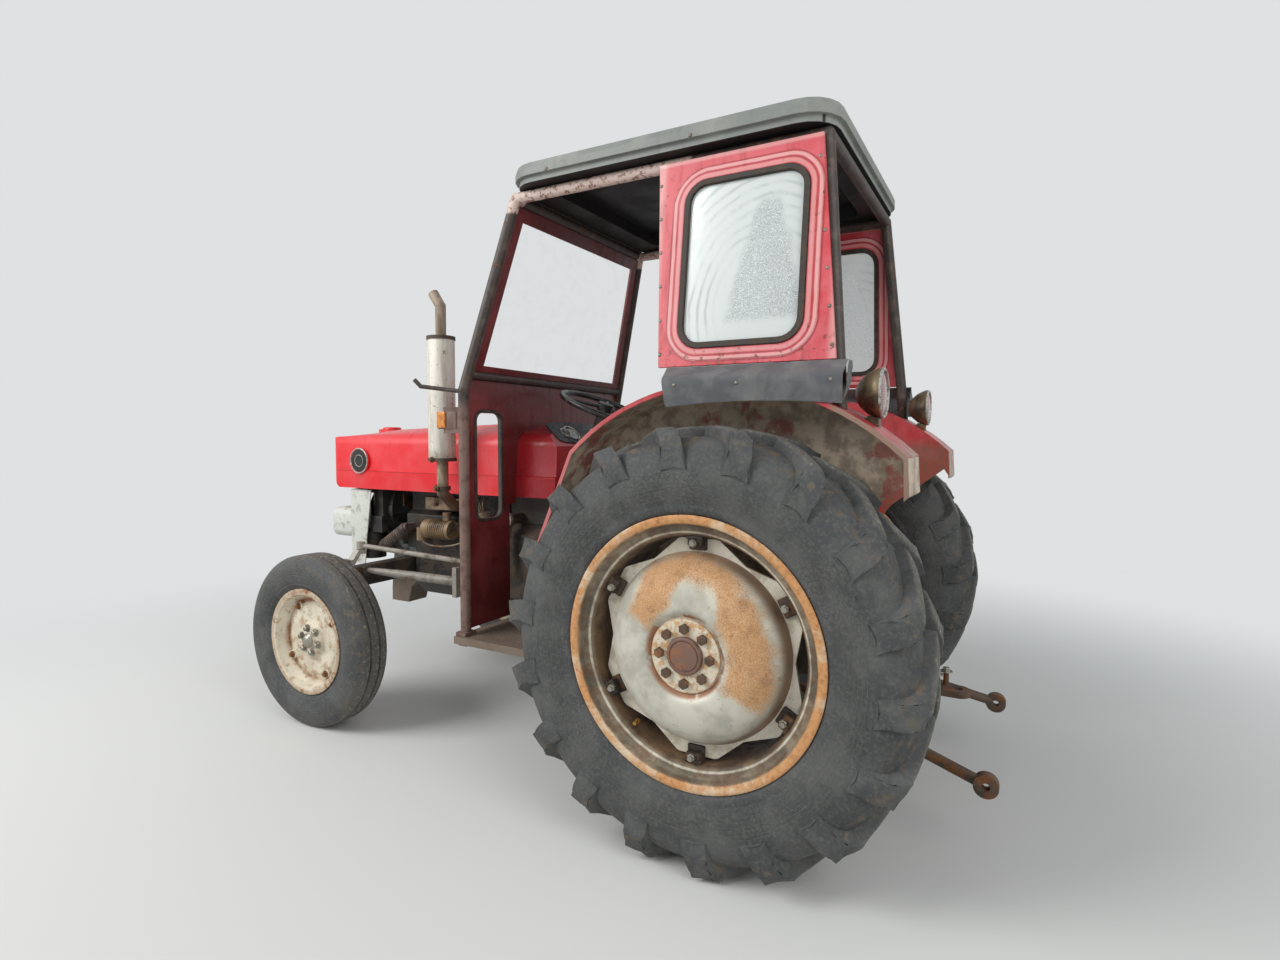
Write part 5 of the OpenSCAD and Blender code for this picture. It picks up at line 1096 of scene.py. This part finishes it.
for side, s in (("left", 1), ("right", -1)):
    bm = bmesh.new()
    bmesh.ops.create_grid(bm, x_segments=columns, y_segments=rows, size=1)
    for v in bm.verts:
        along, down = (v.co.x + 1) / 2, (1 - v.co.y) / 2
        low = min(int(down * rows), rows - 1)
        (y_low, z_low), (y_next, z_next) = profile[low], profile[low + 1]
        part = down * rows - low
        ripple = math.sin(along * 31 + 0.6 * s) * 0.6 + math.sin(along * 13 + 2) * 0.4
        sag = 2.6 * ripple * math.sin(math.pi * min(1, down * 1.4)) if down < 0.5 else 1.6 * ripple * down
        arch = 13 * math.sin(math.pi * along) * max(0, down - 0.3) / 0.7
        y_mm, z_mm = y_low + (y_next - y_low) * part, z_low + (z_next - z_low) * part
        v.co = at(-362 + (556 - 30 * down) * along, s * (y_mm + max(-0.8, sag * 0.6)), z_mm + arch)
    bmesh.ops.solidify(bm, geom=bm.faces[:], thickness=cloth_thickness)
    apron = placed(f"apron_{side}", bm, canvas, smooth=60)
    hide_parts("aprons")
    bm = bmesh.new()
    bmesh.ops.create_grid(bm, x_segments=12, y_segments=14, size=1)
    for v in bm.verts:
        across, down = (v.co.x + 1) / 2, (1 - v.co.y) / 2
        top_y, low_y, low_z = 552 + 36 * across, 552 + 94 * across, 1392 - 62 * across
        v.co = at(-365.5 - 1.6 * math.sin(down * 6 + across * 4), s * (top_y + (low_y - top_y) * down),
                  1441 + (low_z - 1441) * down)
    bmesh.ops.solidify(bm, geom=bm.faces[:], thickness=cloth_thickness)
    flap = placed(f"apron_flap_{side}", bm, canvas, smooth=60)
screws("apron_screws", [Matrix.Translation(at(x_mm, 648.6 * s, 1384)) @ flat_sideways
                        for s in (-1, 1) for x_mm in (-330, -60, 140)], 0.0055)


# The driver's seat is a steel pan on crossed arms with two stuffed cushions in
# black leathercloth, each with a crowned face.
dressed("seat_base", sooty, 2)
leathercloth = Finish("leathercloth", Coat_Weight=0.15, Coat_Roughness=0.4)
pebble = leathercloth.node("ShaderNodeTexVoronoi", None, {"Vector": leathercloth.place(), "Scale": 420.0})
leathercloth.dusted("1c1f26", "3d3d3f", leathercloth.patches(0.07, 0.44, 0.64), 0.7, 0.45, 0.25,
                    Normal=leathercloth.relief(pebble, 0.0006))
swell_pressure, swell_steps, swell_most = 4.0, 20, 0.012


def cushion(name, low, high):
    """A pad that starts slightly smaller than its box and swells as cloth, but not past the box."""
    low, high = Vector(low), Vector(high)
    bm = bmesh.new()
    block(bm, Matrix.Translation((low + high) / 2), (high - low) * 0.94, 0.014, 3)
    made = placed(name, bm, leathercloth, smooth=180)
    remesh = made.modifiers.new("even", "REMESH")
    remesh.mode, remesh.voxel_size = "VOXEL", 0.006
    even = bpy.data.meshes.new_from_object(made.evaluated_get(bpy.context.evaluated_depsgraph_get()))
    made.modifiers.clear()
    made.data = even
    rest = [v.co.copy() for v in even.vertices]
    cloth = made.modifiers.new("swell", "CLOTH")
    cloth.settings.use_pressure = True
    cloth.settings.uniform_pressure_force = swell_pressure
    cloth.settings.effector_weights.gravity = 0
    cloth.point_cache.frame_start, cloth.point_cache.frame_end = 1, swell_steps
    for moment in range(1, swell_steps + 1):
        scene.frame_set(moment)
    swollen = bpy.data.meshes.new_from_object(made.evaluated_get(bpy.context.evaluated_depsgraph_get()))
    made.modifiers.clear()
    scene.frame_set(1)
    for v, start in zip(swollen.vertices, rest):
        shift = v.co - start
        if shift.length > swell_most:
            shift *= swell_most / shift.length
        v.co = [min(max(c, least), most) for c, least, most in zip(start + shift, low, high)]
    made.data = swollen
    made.data.materials.clear()
    made.data.materials.append(leathercloth.material)
    made.data.shade_smooth()
    soft = made.modifiers.new("soft", "SUBSURF")
    soft.levels = soft.render_levels = 1
    return made


low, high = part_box("seat_cushion")
seat_pad = cushion("seat_pad", (low.x + 0.012, low.y + 0.006, low.z), (high.x, high.y - 0.006, 1.034))
cushion("back_pad", at(117.4, -199, 1045), at(175, 199, 1260))
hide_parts("seat_cushion")


# Footplates of chequered steel on two cross bars, worn pale on the raised
# diamonds, and the pedals and levers of plain black steel with round knobs.
tread = Finish("chequered_plate", Metallic=0.35)
x, y, z = tread.axes()
diamond = ((x + y) * 210).wave() * ((x - y) * 210).wave()
plate_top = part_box("footplates")[1].z
raised = tread.step(diamond, 0.35, 0.6) * tread.step(z, plate_top - 0.0008, plate_top - 0.0004)
mud = tread.patches(0.06, 0.42, 0.62)
tread.surface(Base_Color=tread.layer("7d6f62", ("aa9e90", raised * 0.6), ("7d6959", mud * 0.6)),
              Roughness=0.5 + 0.3 * mud, Normal=tread.relief(raised, 0.0014))
dressed("footplates", tread, 1.5)
lever_black = weathered("lever_black", "211f1e", "3f3832", "5f432d", gloss=0.45)
dressed("controls", lever_black, 1)


# A round lamp of dull bronze sits on a bracket over each rear fender, with a red
# lens that faces back behind a bright ring.
lamp_bronze = weathered("lamp_bronze", "7b6a50", "4d4131", "805a3a", film_from=0.48, gloss=0.4, metal=0.4)
dressed("rear_lamps", lamp_bronze, 1, 30)
red_lens = Finish("red_lens", Coat_Weight=0.7, Coat_Roughness=0.08)
x, y, z = red_lens.axes()
red_lens.surface(Base_Color=red_lens.layer("8e1218", ("4d1012", red_lens.patches(0.02, 0.42, 0.66))),
                 Roughness=0.2 + 0.3 * red_lens.patches(0.01, 0.5, 0.7),
                 Normal=red_lens.relief((z * 900).wave(), 0.0006))
lens_outline = [(-38, 0), (-37, 26), (-34, 48), (-31.5, 60), (-30, 60), (-30, 0)]
ring_outline = [(-32, 62), (-36.5, 63), (-37.5, 67), (-35, 71), (-31, 71.5), (-29, 68)]
for side, s in (("left", 1), ("right", -1)):
    lamp_at, way = at(-410, 505 * s, 1352), (1, 0, 0)
    placed(f"lamp_lens_{side}", turned(lens_outline, lamp_at, way, 48, closed=False), red_lens)
    placed(f"lamp_ring_{side}", turned(ring_outline, lamp_at, way, 48), bright)


# The drawbar, top link bracket, lift arms, rods and lower links are forged steel
# that has rusted brown, with the power take-off's shaft bright between them.
link_rust = weathered("link_rust", "5d4a3b", "3d332b", "82532f", film_from=0.5, rust_from=0.5, gloss=0.62,
                      metal=0.15)
for node in ("hitch", "lift_arms", "lift_rods", "lower_links"):
    dressed(node, link_rust, 2)
dressed("pto_shaft", plated, 1)
bolts("drawbar_bolts", [(at(-556, 24, 427), (0, 0, 1)), (at(-580, -24, 427), (0, 0, 1))], 0.0125, 0.012,
      plated)
